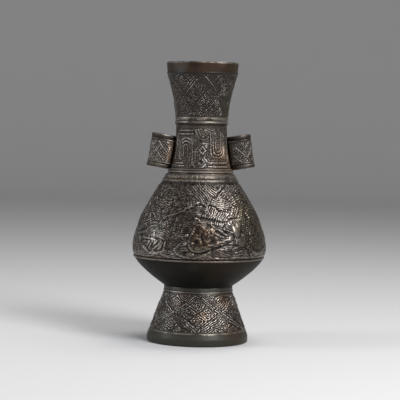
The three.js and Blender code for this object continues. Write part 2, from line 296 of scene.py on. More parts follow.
def eased(points, radius, leastBend=0.7, mostCut=0.4):  # rounds the sharp corners of an outline
    out = []
    for before, here, after in zip(np.roll(points, 1, axis=0), points, np.roll(points, -1, axis=0)):
        back, ahead = before - here, after - here
        backLength, aheadLength = np.linalg.norm(back), np.linalg.norm(ahead)
        bend = math.pi - math.acos(np.clip(back @ ahead / (backLength * aheadLength), -1, 1))
        if bend < leastBend:
            out.append(here)
            continue
        cut = min(radius, mostCut * backLength, mostCut * aheadLength)
        start, end = here + back / backLength * cut, here + ahead / aheadLength * cut
        out += [start, (start + 2 * here + end) / 4, end]
    return np.array(out)


def spaced(points, gap, closed=True, innerGap=5.0):  # adds rows on long runs, fewer past the top
    out = []
    top = np.argmax(points[:, 1])
    for i, here in enumerate(points):
        out.append(here)
        if i + 1 == len(points) and not closed:
            break
        after = points[(i + 1) % len(points)]
        extra = int(np.linalg.norm(after - here) / (innerGap if i > top else gap))
        out += [here + (after - here) * k / (extra + 1) for k in range(1, extra + 1)]
    return np.array(out)


def turn(name, outline, sizes, material, closed=True):
    if closed:
        outline = eased(outline, sizes["round"])
    outline = spaced(outline, sizes["rows"], closed)
    curve = bpy.data.curves.new(name + "Outline", "CURVE")
    curve.dimensions = "3D"
    line = curve.splines.new("POLY")
    line.points.add(len(outline) - 1)
    places = np.ones((len(outline), 4), np.float32)
    places[:, 1] = 0
    places[:, [0, 2]] = outline * mm
    line.points.foreach_set("co", places.ravel())
    guide = newPiece(name + "Outline", curve)
    piece = newPiece(name)
    values = {"Outline": guide, "Columns": sizes["columns"], "Closed": int(closed), "Material": material}
    runTree(piece, turnedWall, values)
    bpy.data.objects.remove(guide)
    bpy.data.curves.remove(curve)
    print(name, "turned:", len(piece.data.polygons), "faces")
    return piece


def readPoints(mesh, what="co"):
    values = np.zeros(len(mesh.vertices) * 3, np.float32)
    mesh.vertices.foreach_get(what, values)
    return values.reshape(-1, 3).astype(float)


def writePoints(mesh, co):
    mesh.vertices.foreach_set("co", co.astype(np.float32).ravel())
    mesh.update()


def markPoints(mesh, name, values):
    layer = mesh.attributes.get(name) or mesh.attributes.new(name, "FLOAT", "POINT")
    layer.data.foreach_set("value", np.asarray(values, np.float32))


# how far each point stands over the surface around it: 0 in a crevice, 1 on a worn edge
zoneEdge = 0.4  # soft ends of a plain zone
pastEnd = 12.0  # takes a zone well past a piece's end
wearMarks = {"calming": 0.6, "underDirtAndShade": 1.7, "underFrom": 0.3, "jointDirt": 0.7, "inward": -0.002}


def markRaised(piece, reach, rounds, plain=(), seatFrom=None):
    mesh, share = piece.data, wearMarks["calming"]
    co, normals = readPoints(mesh), readPoints(mesh, "normal")
    edges = np.zeros(len(mesh.edges) * 2, np.int32)
    mesh.edges.foreach_get("vertices", edges)
    a, b = edges.reshape(-1, 2).T
    count = len(co)
    links = np.bincount(a, minlength=count) + np.bincount(b, minlength=count)
    calm = co.copy()
    for _ in range(rounds):
        for axis in range(3):
            total = np.bincount(a, calm[b, axis], count) + np.bincount(b, calm[a, axis], count)
            calm[:, axis] = (1 - share) * calm[:, axis] + share * total / np.maximum(links, 1)
    stands = np.sum((co - calm) * normals, axis=1) / mm
    smooth = np.zeros(count)
    # darker undersides: settled dirt together with painted shade from light falling from above
    under = reach * wearMarks["underDirtAndShade"] * np.clip(wearMarks["underFrom"] - normals[:, 2], 0, 1)
    for low, high, kept in plain:  # smooth mouldings keep a share of their wear, and get dirt and painted shade on their undersides
        zone = between(co[:, 2] / mm, low, high, zoneEdge)
        stands = stands * (1 - zone * (1 - kept)) - zone * under
        smooth = np.maximum(smooth, zone)
    if seatFrom is not None:  # the saddle in an ear's joint stays dark
        stands[co[:, 0] / mm < seatFrom] = -wearMarks["jointDirt"] * reach
    outward = normals[:, 0] * co[:, 0] + normals[:, 1] * co[:, 1]
    markPoints(mesh, "raised", np.clip(stands / (2 * reach) + 0.5, 0, 1))
    markPoints(mesh, "plain", smooth)
    markPoints(mesh, "inside", np.where(outward < wearMarks["inward"], 1.0, 0.0))


# drawing board laid round a wall: angle from the front, run along the wall, radius, height of the relief
def layBoard(mesh, wall, low, high, skin=0.7):
    co = readPoints(mesh) / mm
    radius = np.hypot(co[:, 0], co[:, 1])
    onWall = (co[:, 2] > low) & (co[:, 2] < high)
    onWall &= radius > np.interp(co[:, 2], wall[:, 1], wall[:, 0]) - skin
    pick = np.where(onWall)[0]
    runs = np.concatenate([[0], np.cumsum(np.hypot(*np.diff(wall, axis=0).T))])
    angle = np.arctan2(co[pick, 0], -co[pick, 1])
    return {
        "pick": pick, "angle": np.arcsin(np.sin(angle)),  # the back repeats the front, mirrored
        "run": np.interp(co[pick, 2], wall[:, 1], runs), "radius": radius[pick], "level": co[pick, 2],
        "height": np.zeros(len(pick)), "wall": wall, "runs": runs,
    }


def spots(board, points):  # listed places, in degrees and level, as board places
    points = np.array(points, float)
    run = np.interp(points[:, 1], board["wall"][:, 1], board["runs"])
    return np.column_stack([np.radians(points[:, 0]), run])


def flow(line, closed=False, steps=6):  # smooth line through its places
    ends = np.vstack([line[-1:], line, line[:2]]) if closed else np.vstack([line[:1], line, line[-1:]])
    t = np.linspace(0, 1, steps, endpoint=False)[:, None]
    out = []
    for p0, p1, p2, p3 in zip(ends[:-3], ends[1:-2], ends[2:-1], ends[3:]):
        out.append(0.5 * (2 * p1 + (p2 - p0) * t + (2 * p0 - 5 * p1 + 4 * p2 - p3) * t ** 2
                          + (3 * p1 - p0 - 3 * p2 + p3) * t ** 3))
    return np.vstack(out + [ends[1:2] if closed else ends[-1:]])


farAway = 99.0


def gapTo(board, line, reach):  # distance in mm to a line, far away elsewhere
    spread = reach / board["radius"].min()
    near = (board["angle"] > line[:, 0].min() - spread) & (board["angle"] < line[:, 0].max() + spread)
    near &= (board["run"] > line[:, 1].min() - reach) & (board["run"] < line[:, 1].max() + reach)
    angle, run, radius = board["angle"][near], board["run"][near], board["radius"][near]
    best = np.full(len(angle), farAway)
    for start, end in zip(line[:-1], line[1:]):
        fromX, fromY = (start[0] - angle) * radius, start[1] - run
        alongX, alongY = (end[0] - start[0]) * radius, end[1] - start[1]
        share = np.clip(-(fromX * alongX + fromY * alongY) / (alongX ** 2 + alongY ** 2 + 1e-9), 0, 1)
        best = np.minimum(best, np.hypot(fromX + share * alongX, fromY + share * alongY))
    gap = np.full(len(near), farAway)
    gap[near] = best
    return gap


def within(board, line):  # which places a closed line goes round
    inside = np.zeros(len(board["angle"]), bool)
    for start, end in zip(line, np.roll(line, -1, axis=0)):
        crosses = (start[1] > board["run"]) != (end[1] > board["run"])
        meet = start[0] + (board["run"] - start[1]) / (end[1] - start[1] + 1e-12) * (end[0] - start[0])
        inside ^= crosses & (board["angle"] < meet)
    return inside


def drift(board, size, seed, wide=160, tall=80, middle=45):  # smooth random values from 0 to 1, in patches
    grid = np.random.default_rng(seed).random((int(wide / size) + 3, int(tall / size) + 3))
    across = (board["angle"] + math.pi / 2) * middle / size
    upward = board["run"] / size
    column, row = across.astype(int), upward.astype(int)
    u, v = ease01(across - column), ease01(upward - row)
    low = grid[column, row] * (1 - u) + grid[column + 1, row] * u
    high = grid[column, row + 1] * (1 - u) + grid[column + 1, row + 1] * u
    return low * (1 - v) + high * v


def roughen(board, amount, size, seed):
    board["height"] += amount * (drift(board, size, seed) - 0.5)


def cover(board, mask, height):
    board["height"] = board["height"] * (1 - mask) + height * mask


def addDome(board, place, radius, height, tall=1.0, foot=1.15, soft=0.6):  # round boss out of the ground
    angle, run = spots(board, [place])[0]
    away = np.hypot((board["angle"] - angle) * board["radius"], (board["run"] - run) / tall) / radius
    cover(board, ease01((foot - away) / soft), height * np.sqrt(np.clip(1 - (away / foot) ** 2, 0, 1)))


def hatch(board, mask, lean, pitch, depth):  # lines inside a mask, with a slight sway and uneven depth
    sway, leastDepth, lean = 1.3, 0.4, math.radians(lean)
    across = board["run"] * math.cos(lean) - board["angle"] * board["radius"] * math.sin(lean)
    across = across + sway * drift(board, size=3.0, seed=11)
    uneven = leastDepth + drift(board, size=2.0, seed=13)
    board["height"] += depth * mask * uneven * np.cos(across / pitch * math.tau)


def addRidges(board, ridges, smooth=True, ridgeReach=1.1):  # rounded, or cuts where the height is negative
    for width, height, lines in ridges:
        for points in lines:
            line = spots(board, points)
            gap = gapTo(board, flow(line) if smooth else line, width * ridgeReach)
            board["height"] += height * ease01(1 - gap / width)


def addBand(board, points, half, height, soft=0.28):  # flat-topped strip
    gap = gapTo(board, flow(spots(board, points)), half + soft * 2)
    cover(board, ease01((half + soft / 2 - gap) / soft), height)


def raiseShape(board, points, height, bulge=0.0, moat=0.0, soft=0.5, smooth=True):  # raised form in a moat
    farthest, bulgeRun, moatPlace, moatWidth = 12.0, 1.6, 0.55, 0.6
    line = spots(board, points)
    line = flow(line, True) if smooth else np.vstack([line, line[:1]])
    gap = gapTo(board, line, farthest)
    depth = np.where(within(board, line[:-1]), gap, -gap)
    mask = ease01(depth / soft + 0.5)
    cover(board, mask, height + bulge * (1 - np.exp(-np.maximum(depth, 0) / bulgeRun)))
    board["height"] -= moat * ease01(1 - np.abs(depth + moatPlace) / moatWidth)
    return mask


def carve(piece, board):
    co, normals = readPoints(piece.data), readPoints(piece.data, "normal")
    co[board["pick"]] += normals[board["pick"]] * board["height"][:, None] * mm
    writePoints(piece.data, co)


# patina effects that the finishes share
def patinaToneGroup():  # dark in the hollows, worn on the heights
    group, given = newTree("patinaTone", "ShaderNodeTree", {
        "Vector": "Vector", "Raised": 0.5, "Hollow": (0.01, 0.01, 0.01, 1), "Body": (0.07, 0.06, 0.05, 1),
        "Worn": (0.3, 0.27, 0.24, 1), "Wear Level": 0.6, "Blotch Size": 0.011, "Plain": 0.0,
        "Patch Size": 0.006,
    }, {"Color": "Color", "Wear": "Float"})
    place, wearLevel = given["Vector"], given["Wear Level"]
    speckScale, speckShare, blotchShare, patchShare = 800.0, 0.3, 0.4, 1.6
    patchMiddle, brightest, wearRange = 0.52, 0.04, 0.32  # patches dull a moulding more than they brighten it
    hollowEnd, bodyFrom = 0.2, 0.52
    level = given["Raised"] + (noise(place, speckScale, 4.0) - 0.5) * speckShare
    blotch = (noise(place, 1.0 / given["Blotch Size"], 3.0) - 0.5) * blotchShare
    patch = (noise(place, 1.0 / given["Patch Size"], 3.0) - patchMiddle) * patchShare
    dulled = do("MINIMUM", patch, brightest) * given["Plain"]
    wear = ramp(level + blotch + dulled, wearLevel, wearLevel + wearRange)
    clean = blend(ramp(level, hollowEnd, bodyFrom), given["Hollow"], given["Body"])
    addNode(group, "NodeGroupOutput", {"Color": blend(wear, clean, given["Worn"]), "Wear": wear})
    return group


def patchTintGroup():  # clouds of another patina
    group, given = newTree("patchTint", "ShaderNodeTree", {
        "Vector": "Vector", "Color": "Color", "Tint": "Color", "Patch Size": 0.02, "Cover": 0.55,
        "Strength": 0.5, "Seed": 0.0,
    }, {"Color": "Color"})
    soft = 0.16
    cloud = noise(given["Vector"], 1.0 / given["Patch Size"], 4.0, given["Seed"], roughness=0.6)
    share = ramp(cloud, given["Cover"], given["Cover"] + soft) * given["Strength"]
    addNode(group, "NodeGroupOutput", {"Color": blend(share, given["Color"], given["Tint"])})
    return group


def castSkinGroup():  # fine grain and pits of an old casting
    group, given = newTree("castSkin", "ShaderNodeTree", {"Vector": "Vector", "Grain Size": 0.0006},
                           {"Height": "Float", "Gloss": "Float"})
    grain = noise(given["Vector"], 1.0 / given["Grain Size"], 5.0)
    pitScale, pitFrom, pitFull, pitDepth = 0.4, 0.62, 0.75, 0.8
    pit = ramp(noise(given["Vector"], pitScale / given["Grain Size"], 2.0), pitFrom, pitFull)
    addNode(group, "NodeGroupOutput", {"Height": grain - pit * pitDepth, "Gloss": grain})
    return group


patinaTone = patinaToneGroup()
patchTint = patchTintGroup()
castSkin = castSkinGroup()


def placeGroup(tree, group, inputs):
    outputs = addNode(tree, "ShaderNodeGroup", inputs, node_tree=group).outputs
    return {socket.name: wire(tree, socket) for socket in outputs}


def bronze(name, finish):
    paint = bpy.data.materials.new(name)
    paint.use_nodes = True
    tree = paint.node_tree
    place = put(tree, "ShaderNodeTexCoord", output="Object")
    marks = ("raised", "inside", "plain")
    raised, inside, plain = (
        put(tree, "ShaderNodeAttribute", output="Fac", attribute_name=mark) for mark in marks)
    tone = placeGroup(tree, patinaTone, {
        "Vector": place, "Raised": raised, "Hollow": finish["hollow"], "Body": finish["body"],
        "Worn": finish["worn"], "Wear Level": finish["wearLevel"], "Plain": plain})
    wear = tone["Wear"]
    colour = blend(plain * finish["cover"], tone["Color"], finish["moulding"])
    colour = blend(plain * wear, colour, finish["crest"])
    for order, (tint, size, share, strength) in enumerate(finish["tints"]):
        colour = placeGroup(tree, patchTint, {
            "Vector": place, "Color": colour, "Tint": tint, "Patch Size": size * mm, "Cover": share,
            "Strength": strength, "Seed": order * finish["seedStep"] + finish["seed"]})["Color"]
    if "lip" in finish:  # the plain band under the rim has a redder skin
        low, high, lipColour, strength = finish["lip"]
        band = ramp(split(place)[2], low * mm, high * mm)
        colour = blend(band * ((1.0 - wear) * strength), colour, lipColour)
    for x, y, z, radius, tint, strength in finish["stains"]:  # one patch of another tint round a place
        spot = (x * mm, y * mm, z * mm)
        away = put(tree, "ShaderNodeVectorMath", {0: place, 1: spot}, "Value", operation="DISTANCE")
        share = ramp(away, radius * mm, radius * mm * finish["core"]) * strength
        colour = blend(share, colour, tint, "MULTIPLY")
    skin = placeGroup(tree, castSkin, {"Vector": place, "Grain Size": finish["grain"] * mm})
    gloss = (skin["Gloss"] - 0.5) * finish["unevenGloss"]
    bump = {"Strength": finish["bump"], "Distance": finish["bumpDepth"] * mm, "Height": skin["Height"]}
    sockets = {
        "Base Color": blend(inside * finish["innerCover"], colour, finish["inner"]),
        "Roughness": finish["rough"] - wear * finish["polish"] + gloss - plain * finish["sheen"],
        "Metallic": finish["metal"] + wear * finish["bare"], "Normal": put(tree, "ShaderNodeBump", bump),
        "Specular IOR Level": finish["specular"], "Coat Weight": finish["wax"],
        "Coat Roughness": finish["waxRough"],
    }
    for label, value in sockets.items():
        feed(tree, tree.nodes["Principled BSDF"].inputs[label], value)
    return paint


# a tint is its colour, size in mm, cover and strength; a stain its place and radius in mm, tint and strength
reddish, greenish = (0.075, 0.042, 0.026), (0.042, 0.05, 0.034)
brown, green = (0.017, 0.013, 0.01), (0.014, 0.0165, 0.0125)
# Of the brightening tints, the warm golden one and the pale one are painted highlights, the blue-grey one is
# a painted sheen, and the rubbed one is worn metal in some stains and a painted highlight in others.
warm, mossy, smoky, rubbedAndHighlit = (1.14, 0.9, 0.72), (0.84, 0.98, 0.8), (0.74, 0.66, 0.6), (1.5, 1.48, 1.46)
russet, warmHighlight, coolSheen, olive = (0.82, 0.69, 0.58), (2.3, 2.12, 1.95), (1.6, 2.8, 4.6), (0.7, 0.67, 0.54)
dull, paleHighlight, sooty = (0.66, 0.65, 0.64), (2.2, 2.35, 2.55), (0.45, 0.41, 0.38)
bronzed, tawny = (1.75, 1.4, 1.05), (1.0, 0.68, 0.48)
reliefFinish = {
    "hollow": (0.006, 0.0042, 0.003), "body": (0.047, 0.035, 0.0265), "worn": (0.25, 0.226, 0.204),
    "wearLevel": 0.59, "tints": [(reddish, 22, 0.58, 0.3), (greenish, 18, 0.58, 0.45)], "seed": 1.0,
    "moulding": (0.06, 0.047, 0.036), "cover": 0.12, "sheen": -0.12, "crest": (0.2, 0.174, 0.148),
    "inner": (0.018, 0.014, 0.011), "innerCover": 0.85, "grain": 0.6, "rough": 0.4, "polish": 0.06,
    "unevenGloss": 0.3, "metal": 0.45, "bare": 0.38, "bump": 0.4, "bumpDepth": 0.1, "specular": 0.35,
    "wax": 0.1, "waxRough": 0.28, "core": 0.35, "seedStep": 7.0, "stains": [],
}
# the plain finish is very dark: the plain skin's own darker patina together with painted shade, as the bowl
# is the belly's underside
plainShadedFinish = {
    **reliefFinish, "hollow": (0.004, 0.0038, 0.003), "body": (0.0105, 0.0098, 0.0082),
    "worn": (0.04, 0.036, 0.03), "wearLevel": 0.7, "tints": [(brown, 24, 0.5, 0.6), (green, 14, 0.52, 0.7)],
    "seed": 4.0, "rough": 0.55, "grain": 0.9, "bump": 0.2, "specular": 0.08, "wax": 0.0,
}
earBronze = bronze("reliefBronze", {**reliefFinish, "stains": [
    # painted light on the ears: highlight streaks on the left ear's left side, the left ear's side in the
    # neck's shade lightened, and highlights on the end beads
    (-30, -6, 117, 6.5, rubbedAndHighlit, 0.9), (-28.5, -6.5, 127, 6.5, rubbedAndHighlit, 0.9),
    (-19.3, -5.5, 117, 6, warmHighlight, 0.8), (-18.6, -5.5, 122, 6, warmHighlight, 0.8),
    (-17.9, -5.5, 127, 6, warmHighlight, 0.8), (-25.5, -7.2, 112.5, 6, paleHighlight, 0.9),
    (-21.2, -7, 132.5, 5.5, paleHighlight, 0.8), (27.5, -7.2, 133.5, 4, paleHighlight, 0.9),
    (28.5, -7, 112.5, 6.5, paleHighlight, 0.6)]})
bellyBronze = bronze("bellyBronze", {**reliefFinish, "stains": [
    (1, -41.5, 72, 12.5, russet, 0.9), (-13, -38, 78, 18, smoky, 0.8), (0, -42, 63, 8, mossy, 0.5),
    # painted highlights: the brightening patches on the upper right, where the key lamp's highlight falls,
    # and the pale spot on the rock
    (20.8, -29.6, 88.5, 16.5, rubbedAndHighlit, 1.0), (36, -22, 80, 27, olive, 1.0), (-19, -25, 93, 20, smoky, 0.95),
    (-28, -32, 67.5, 13.5, rubbedAndHighlit, 0.9), (4, -42, 57, 20, smoky, 0.9), (31, -29, 56.5, 19, smoky, 0.8),
    (4.5, -41, 70.5, 12, smoky, 1.0), (-14, -18.5, 107, 12, smoky, 0.7), (8.5, -20.8, 107.5, 12, dull, 0.8),
    (6.5, -26.2, 98.5, 7.5, rubbedAndHighlit, 1.0), (15.5, -38.5, 66.5, 9.5, dull, 0.7),
    (-25, -34.5, 56.2, 12, smoky, 0.6), (21.5, -31, 83.5, 10.5, paleHighlight, 0.5), (1.5, -36.5, 84.5, 8, dull, 0.7),
    (-28.5, -31, 68.5, 7, paleHighlight, 0.35)]})
neckBronze = bronze("neckBronze", {
    **reliefFinish, "body": (0.056, 0.043, 0.033), "seed": 12.0, "wearLevel": 0.54, "stains": [
        # painted light: a warm highlight on the neck's right edge and pale highlight spots in the middle of
        # the fret
        (10.5, -13, 124, 9, warm, 0.5), (14, -14, 112, 14, warm, 0.35), (17, -6, 118, 12, warmHighlight, 0.9),
        (-11, -14.5, 119, 13, smoky, 0.9), (-0.2, -16.5, 135, 5, rubbedAndHighlit, 0.8),
        (-6, -15.4, 130.3, 3.2, paleHighlight, 0.8), (2.5, -16.7, 127, 3.6, paleHighlight, 0.6),
        (1.8, -18.8, 116, 4.5, paleHighlight, 0.6), (-0.2, -16.6, 131, 4, sooty, 0.8),
        (-0.8, -18, 118.5, 4, sooty, 0.8), (6.5, -19.7, 109.5, 6.5, dull, 0.8)]})
mouthBronze = bronze("mouthBronze", {
    **reliefFinish, "body": (0.035, 0.026, 0.02), "seed": 9.0, "wearLevel": 0.69,
    "lip": (173.2, 174.2, (0.048, 0.025, 0.013), 0.85), "stains": [
        # painted light: a blue-grey sheen on the lip's left, warmed on the worn edge above it by the tawny
        # stain, a highlight streak on the left of the flare and a highlight on the rim's right front
        (18.5, -7, 151, 13, mossy, 0.8), (-14.6, -18, 178.5, 8.2, coolSheen, 0.62),
        (20.5, -10.5, 177, 10, mossy, 0.9), (12.5, -19.5, 176, 12, dull, 0.5),
        (-12.5, -16.5, 166, 9, rubbedAndHighlit, 0.6), (-5, -22.5, 180, 6.5, sooty, 0.8),
        (12.5, -19.5, 180.2, 5, paleHighlight, 0.7), (-14.6, -18, 184, 9.5, tawny, 1.0)]})
footBronze = bronze("footBronze", {
    **reliefFinish, "body": (0.04, 0.03, 0.0225), "worn": (0.43, 0.39, 0.355), "wearLevel": 0.65, "seed": 3.0,
    "moulding": (0.046, 0.046, 0.036), "cover": 0.7, "sheen": -0.14, "stains": [
        # painted highlights: the broad brightening patch on the right front where the key lamp's streak
        # falls, and the pale spots on the collar
        (24, -22, 6, 12, warm, 0.7), (11, -22, 21, 16, rubbedAndHighlit, 1.0), (1, -26, 18.5, 7, warm, 0.6),
        (-10.5, -20.5, 29, 8, warm, 0.5), (16.5, -16, 28.5, 7, warm, 0.7), (-13.8, -17.5, 33, 6.5, paleHighlight, 0.9),
        (-13.5, -19.5, 27.5, 5, paleHighlight, 0.6), (7.5, -20.7, 34.5, 8.5, paleHighlight, 0.9)]})
plainShadedBronze = bronze("plainShadedBronze", {**plainShadedFinish, "stains": [
    # patches that make the bowl lighter and warmer towards its top
    (-14, -38.5, 53.5, 20, rubbedAndHighlit, 1.0), (12, -39.5, 53.5, 19, bronzed, 0.9), (29, -29, 52, 13, bronzed, 0.9),
    (-3.5, -39.2, 50.3, 5, rubbedAndHighlit, 0.9)]})
innerBronze = bronze("innerBronze", {**plainShadedFinish, "body": (0.03, 0.025, 0.02), "seed": 6.0, "rough": 0.65})
print("finishes mixed")

# levels and radii that neighbouring pieces share, in mm
vase = {
    "waist": 36.2, "turn": 54.4, "shoulder": 108.3, "neckBead": 142.4, "lip": 180.0,
    "waistRadius": 22.0, "turnRadius": 41.8, "shoulderRadius": 21.4, "neckRadius": 16.4,
    "wall": 2.6, "socketWall": 1.3, "spigotWall": 1.3, "lap": 4.0, "play": 0.3,
}
wall, lap, play = vase["wall"], vase["lap"], vase["play"]
waistSocket = vase["waistRadius"] - vase["socketWall"]
shoulderSocket = vase["shoulderRadius"] - vase["socketWall"]
mouthSocket = vase["neckRadius"] - vase["socketWall"]
turnSocket = vase["turnRadius"] - wall
latticeLengths = ("Bottom", "Top", "Strap", "Line Place", "Line Width", "Curl Place", "Relief", "Grain")


def lattice(piece, material, zone):  # a zone has the tree's own inputs, with lengths in mm
    width = math.tau * zone["radius"] / zone["Repeats"]
    tall = (zone["Top"] - zone["Bottom"]) / zone["Tiers"]
    reach = width * tall / 2 / math.hypot(width / 2, tall / 2)  # across a lozenge, side to side
    values = {label: value * mm if label in latticeLengths else value for label, value in zone.items()}
    runTree(piece, latticeRelief, {**values, "Reach": reach * mm, "Material": material})


# in a piece's sizes, wear is markRaised's reach and rounds, and other wears are shares in plain zones
foot = {
    "rimRadius": 32.6, "skirtRadius": 30.6, "rim": 8.4, "groove": 0.8, "wall": 2.8, "collar": 3.6,
    "bead": 1.1, "beadReach": 0.55, "pull": (23.43, 29.25), "edge": 0.7, "rimStep": 0.5, "undercut": 0.25,
    "flare": 0.1, "gap": 0.26, "innerGap": 2.4, "round": 0.45, "rows": 1.0, "columns": 600,
    "wear": (0.32, 30), "rimEdge": 0.9, "rimWear": 0.2, "edgeWear": 1.2, "beadWear": 2.0, "collarWear": 0.3,
}
footLattice = {
    "radius": 26.5, "Bottom": 9.1, "Top": 32.2, "Repeats": 5.0, "Tiers": 1.0, "Strap": 0.36,
    "Line Place": 1.25, "Line Width": 0.26, "Curl Place": 2.1, "Curl Turns": 3.1, "Relief": 0.8,
    "Grain": 1.1, "Wobble": 0.09, "Wear": 0.72, "Seed": 2.0,
}


def makeFoot():
    top, waist, edge, flare = vase["waist"], vase["waistRadius"], foot["edge"], foot["flare"]
    outer, skirt, rim = foot["rimRadius"], foot["skirtRadius"], foot["rim"]
    rimTop = rim + foot["groove"]
    collarLow = top - foot["collar"]
    beadTop = collarLow + foot["bead"]
    step = top - lap - play
    ends = ((skirt, rimTop), foot["pull"], (waist, collarLow))
    inner = insideOf(bow(*ends, foot["innerGap"]), foot["wall"])
    inner = inner[inner[:, 1] < step - play]
    innerFoot = outer - foot["wall"] - edge
    outline = np.vstack([
        pt(outer - edge, 0, outer, edge, outer, rim / 2, skirt + foot["rimStep"], rim),
        pt(skirt - foot["undercut"], (rim + rimTop) / 2),
        bow(*ends, foot["gap"]),
        bead((waist, collarLow + flare), (waist, beadTop), foot["beadReach"], steps=6),
        pt(waist + flare, beadTop + 3 * flare, waist + 2 * flare, top, waistSocket, top),
        pt(waistSocket, step, waist - foot["wall"], step),
        inner,
        pt(innerFoot, rim / 2, innerFoot, 0),
    ])
    piece = turn("footSkirt", outline, foot, footBronze)
    lattice(piece, footBronze, footLattice)
    edgeLow = rim - foot["rimEdge"]
    markRaised(piece, *foot["wear"], [
        (-pastEnd, edgeLow, foot["rimWear"]), (edgeLow, rimTop, foot["edgeWear"]),
        (collarLow - zoneEdge, beadTop, foot["beadWear"]), (beadTop, top + pastEnd, foot["collarWear"])])
    return piece


bowl = {
    "pull": (37.84, 47.12), "ledge": 2.0, "ledgeWidth": 2.2, "gap": 0.6, "innerGap": 1.6, "round": 0.3,
    "rows": 1.2, "columns": 320, "wear": (0.2, 12),
}
plate = {"thick": 2.4, "chamfer": 0.5, "rows": 0.9, "columns": 160, "wear": (0.2, 12)}
ledgeRadius = waistSocket - play - wall
plateRadius = ledgeRadius + bowl["ledgeWidth"]
ledgeLevel = vase["waist"] + bowl["ledge"]
floorLevel = ledgeLevel + plate["thick"]


def makeBowl():
    low, high = vase["waist"], vase["turn"]
    ends = ((vase["waistRadius"], low), bowl["pull"], (vase["turnRadius"], high))
    lowSpigot, highSpigot = waistSocket - play, turnSocket - play
    bore = highSpigot - vase["spigotWall"]
    inner = insideOf(bow(*ends, bowl["innerGap"]), wall)
    inner = inner[(inner[:, 1] > floorLevel) & (inner[:, 0] < bore)]
    outline = np.vstack([
        pt(lowSpigot, low - lap, lowSpigot, low),
        bow(*ends, bowl["gap"]),
        pt(highSpigot, high, highSpigot, high + lap, bore, high + lap, bore, high - vase["spigotWall"]),
        inner,
        pt(plateRadius + play, floorLevel, plateRadius + play, ledgeLevel),
        pt(ledgeRadius, ledgeLevel, ledgeRadius, low - lap),
    ])
    piece = turn("lowerBowl", outline, bowl, plainShadedBronze)
    markRaised(piece, *bowl["wear"])
    return piece


def makeFloorPlate():
    chamfer = plate["chamfer"]
    outline = pt(0, ledgeLevel, plateRadius, ledgeLevel, plateRadius, floorLevel - chamfer,
                 plateRadius - chamfer, floorLevel, 0, floorLevel)
    piece = turn("floorPlate", outline, plate, innerBronze, closed=False)
    markRaised(piece, *plate["wear"])
    return piece


belly = {
    "radius": 42.6, "widest": 59.0, "ridge": 1.1, "ridgeReach": 0.55, "swellRadius": 24.8, "swellTop": 102.5,
    "lowPull": 76.835, "highPull": (30.733, 92.93), "band": 5.8, "rib": 2.9, "line": 2.1, "reach": 0.5,
    "groove": 0.35, "lip": 0.2, "skin": 0.42, "gap": 0.43, "innerGap": 6.0, "round": 0.25, "rows": 9.0,
    "columns": 536, "wear": (0.24, 24), "bandWear": 0.7, "ridgeWear": 1.7, "grooveRise": 0.3, "lipRise": 0.8,
    "carveRise": 0.9, "carvePast": 0.3, "bandEnd": 0.2, "ridgeEnd": 0.1, "calmest": 0.25, "calmFrom": 0.6,
    "lumps": 0.6, "lumpsFrom": 57, "lumpsFade": 2,
}

# sea of wave patches: degrees from the front, level, lean of the lines, strength, kind of line
line, comb, ring, pebble = range(4)
waves = {
    "pitch": 1.35, "depth": 0.55, "edge": 0.7, "cut": 0.2, "cutWidth": 0.8, "bend": 0.03, "squash": 1.25,
    "stray": 3.0, "sway": 0.9, "ripple": 0.18, "rippleRate": 1.5, "combSway": 0.2, "low": 56.3, "high": 102.4,
    "lowFade": 0.7, "highFade": 0.8, "pebbleOver": 0.42, "pebbleAlong": 0.38, "pebbleSway": 2,
    "pebblePower": 0.75, "pebbleSink": 0.2, "leastSound": 0.65, "sound": 0.6,
}
wavePatches = [
    (11.4, 99.1, -50, 1.2, comb), (2.5, 96.2, -50, 1, comb), (-5, 100, -50, 0.8, comb),
    (28, 97, 35, 0.7, line), (43.7, 98.7, 55, 0.6, line), (46.6, 93.3, 20, 1.1, pebble),
    (25.6, 90.2, -10, 1.1, line), (22.3, 83.1, 55, 1.2, line), (12, 84.5, 62, 0.8, line),
    (32.6, 79.1, 50, 1.1, ring), (43.3, 85.1, -35, 1.1, pebble), (60.7, 86.9, 20, 1.3, pebble),
    (48.8, 74.5, -30, 1.3, pebble), (50, 67.2, 30, 1.3, pebble), (42.9, 69.2, 80, 0.8, line),
    (21.4, 67.3, 12, 0.8, line), (17.5, 59.6, -25, 1, line), (37.9, 59, 10, 0.6, line),
    (56.2, 63.3, 40, 0.9, ring), (3.5, 58.5, -30, 0.7, line), (70, 78, 45, 1.3, pebble),
    (74, 92, -40, 1, line), (66, 98, 30, 1, pebble), (78, 66, -20, 1.1, line),
    (72, 57.5, 10, 0.8, line), (86, 84, 60, 1.1, pebble), (86, 100, -20, 0.9, line),
    (88, 72, 30, 1, line), (-17.3, 99.5, -30, 0.5, pebble), (-30, 100, 25, 0.5, pebble),
    (-41.1, 96.1, -20, 0.6, pebble), (-40.1, 89.9, -8, 1, line), (-48.2, 83.7, 45, 0.9, pebble),
    (-36.3, 85.2, 40, 0.8, line), (-27.3, 84.4, 20, 0.5, line), (-34.1, 76.3, 20, 0.6, pebble),
    (-21.8, 76, 0, 0.8, pebble), (-18.7, 81.8, 15, 0.4, line), (-23, 64.7, 5, 0.35, line),
    (-25.4, 57.3, 20, 0.9, line), (-15.1, 62.1, 0, 1, line), (-9.7, 57.9, -25, 0.9, line),
    (-12, 74, 4, 0.7, line), (-11.7, 90.6, 10, 0.7, pebble), (-1, 86.5, 8, 0.6, line),
    (-24, 92, -32, 0.6, pebble), (-60, 90, -30, 1, pebble), (-63.5, 80, 35, 1.1, pebble),
    (-63.5, 73, 35, 0.9, line), (-32.7, 71.3, -20, 0.8, line), (-46, 73.8, 38, 0.7, line),
    (-55, 98, 20, 1, pebble), (-72, 97, -40, 1, line), (-78, 66, 35, 0.7, line),
    (-62, 57, 10, 0.9, line), (-41, 56.2, -5, 0.9, line), (-84, 76, -20, 1.1, pebble),
    (-87, 95, -35, 1, line), (-84, 57, -15, 0.8, line), (-77, 86, 60, 1, line),
]


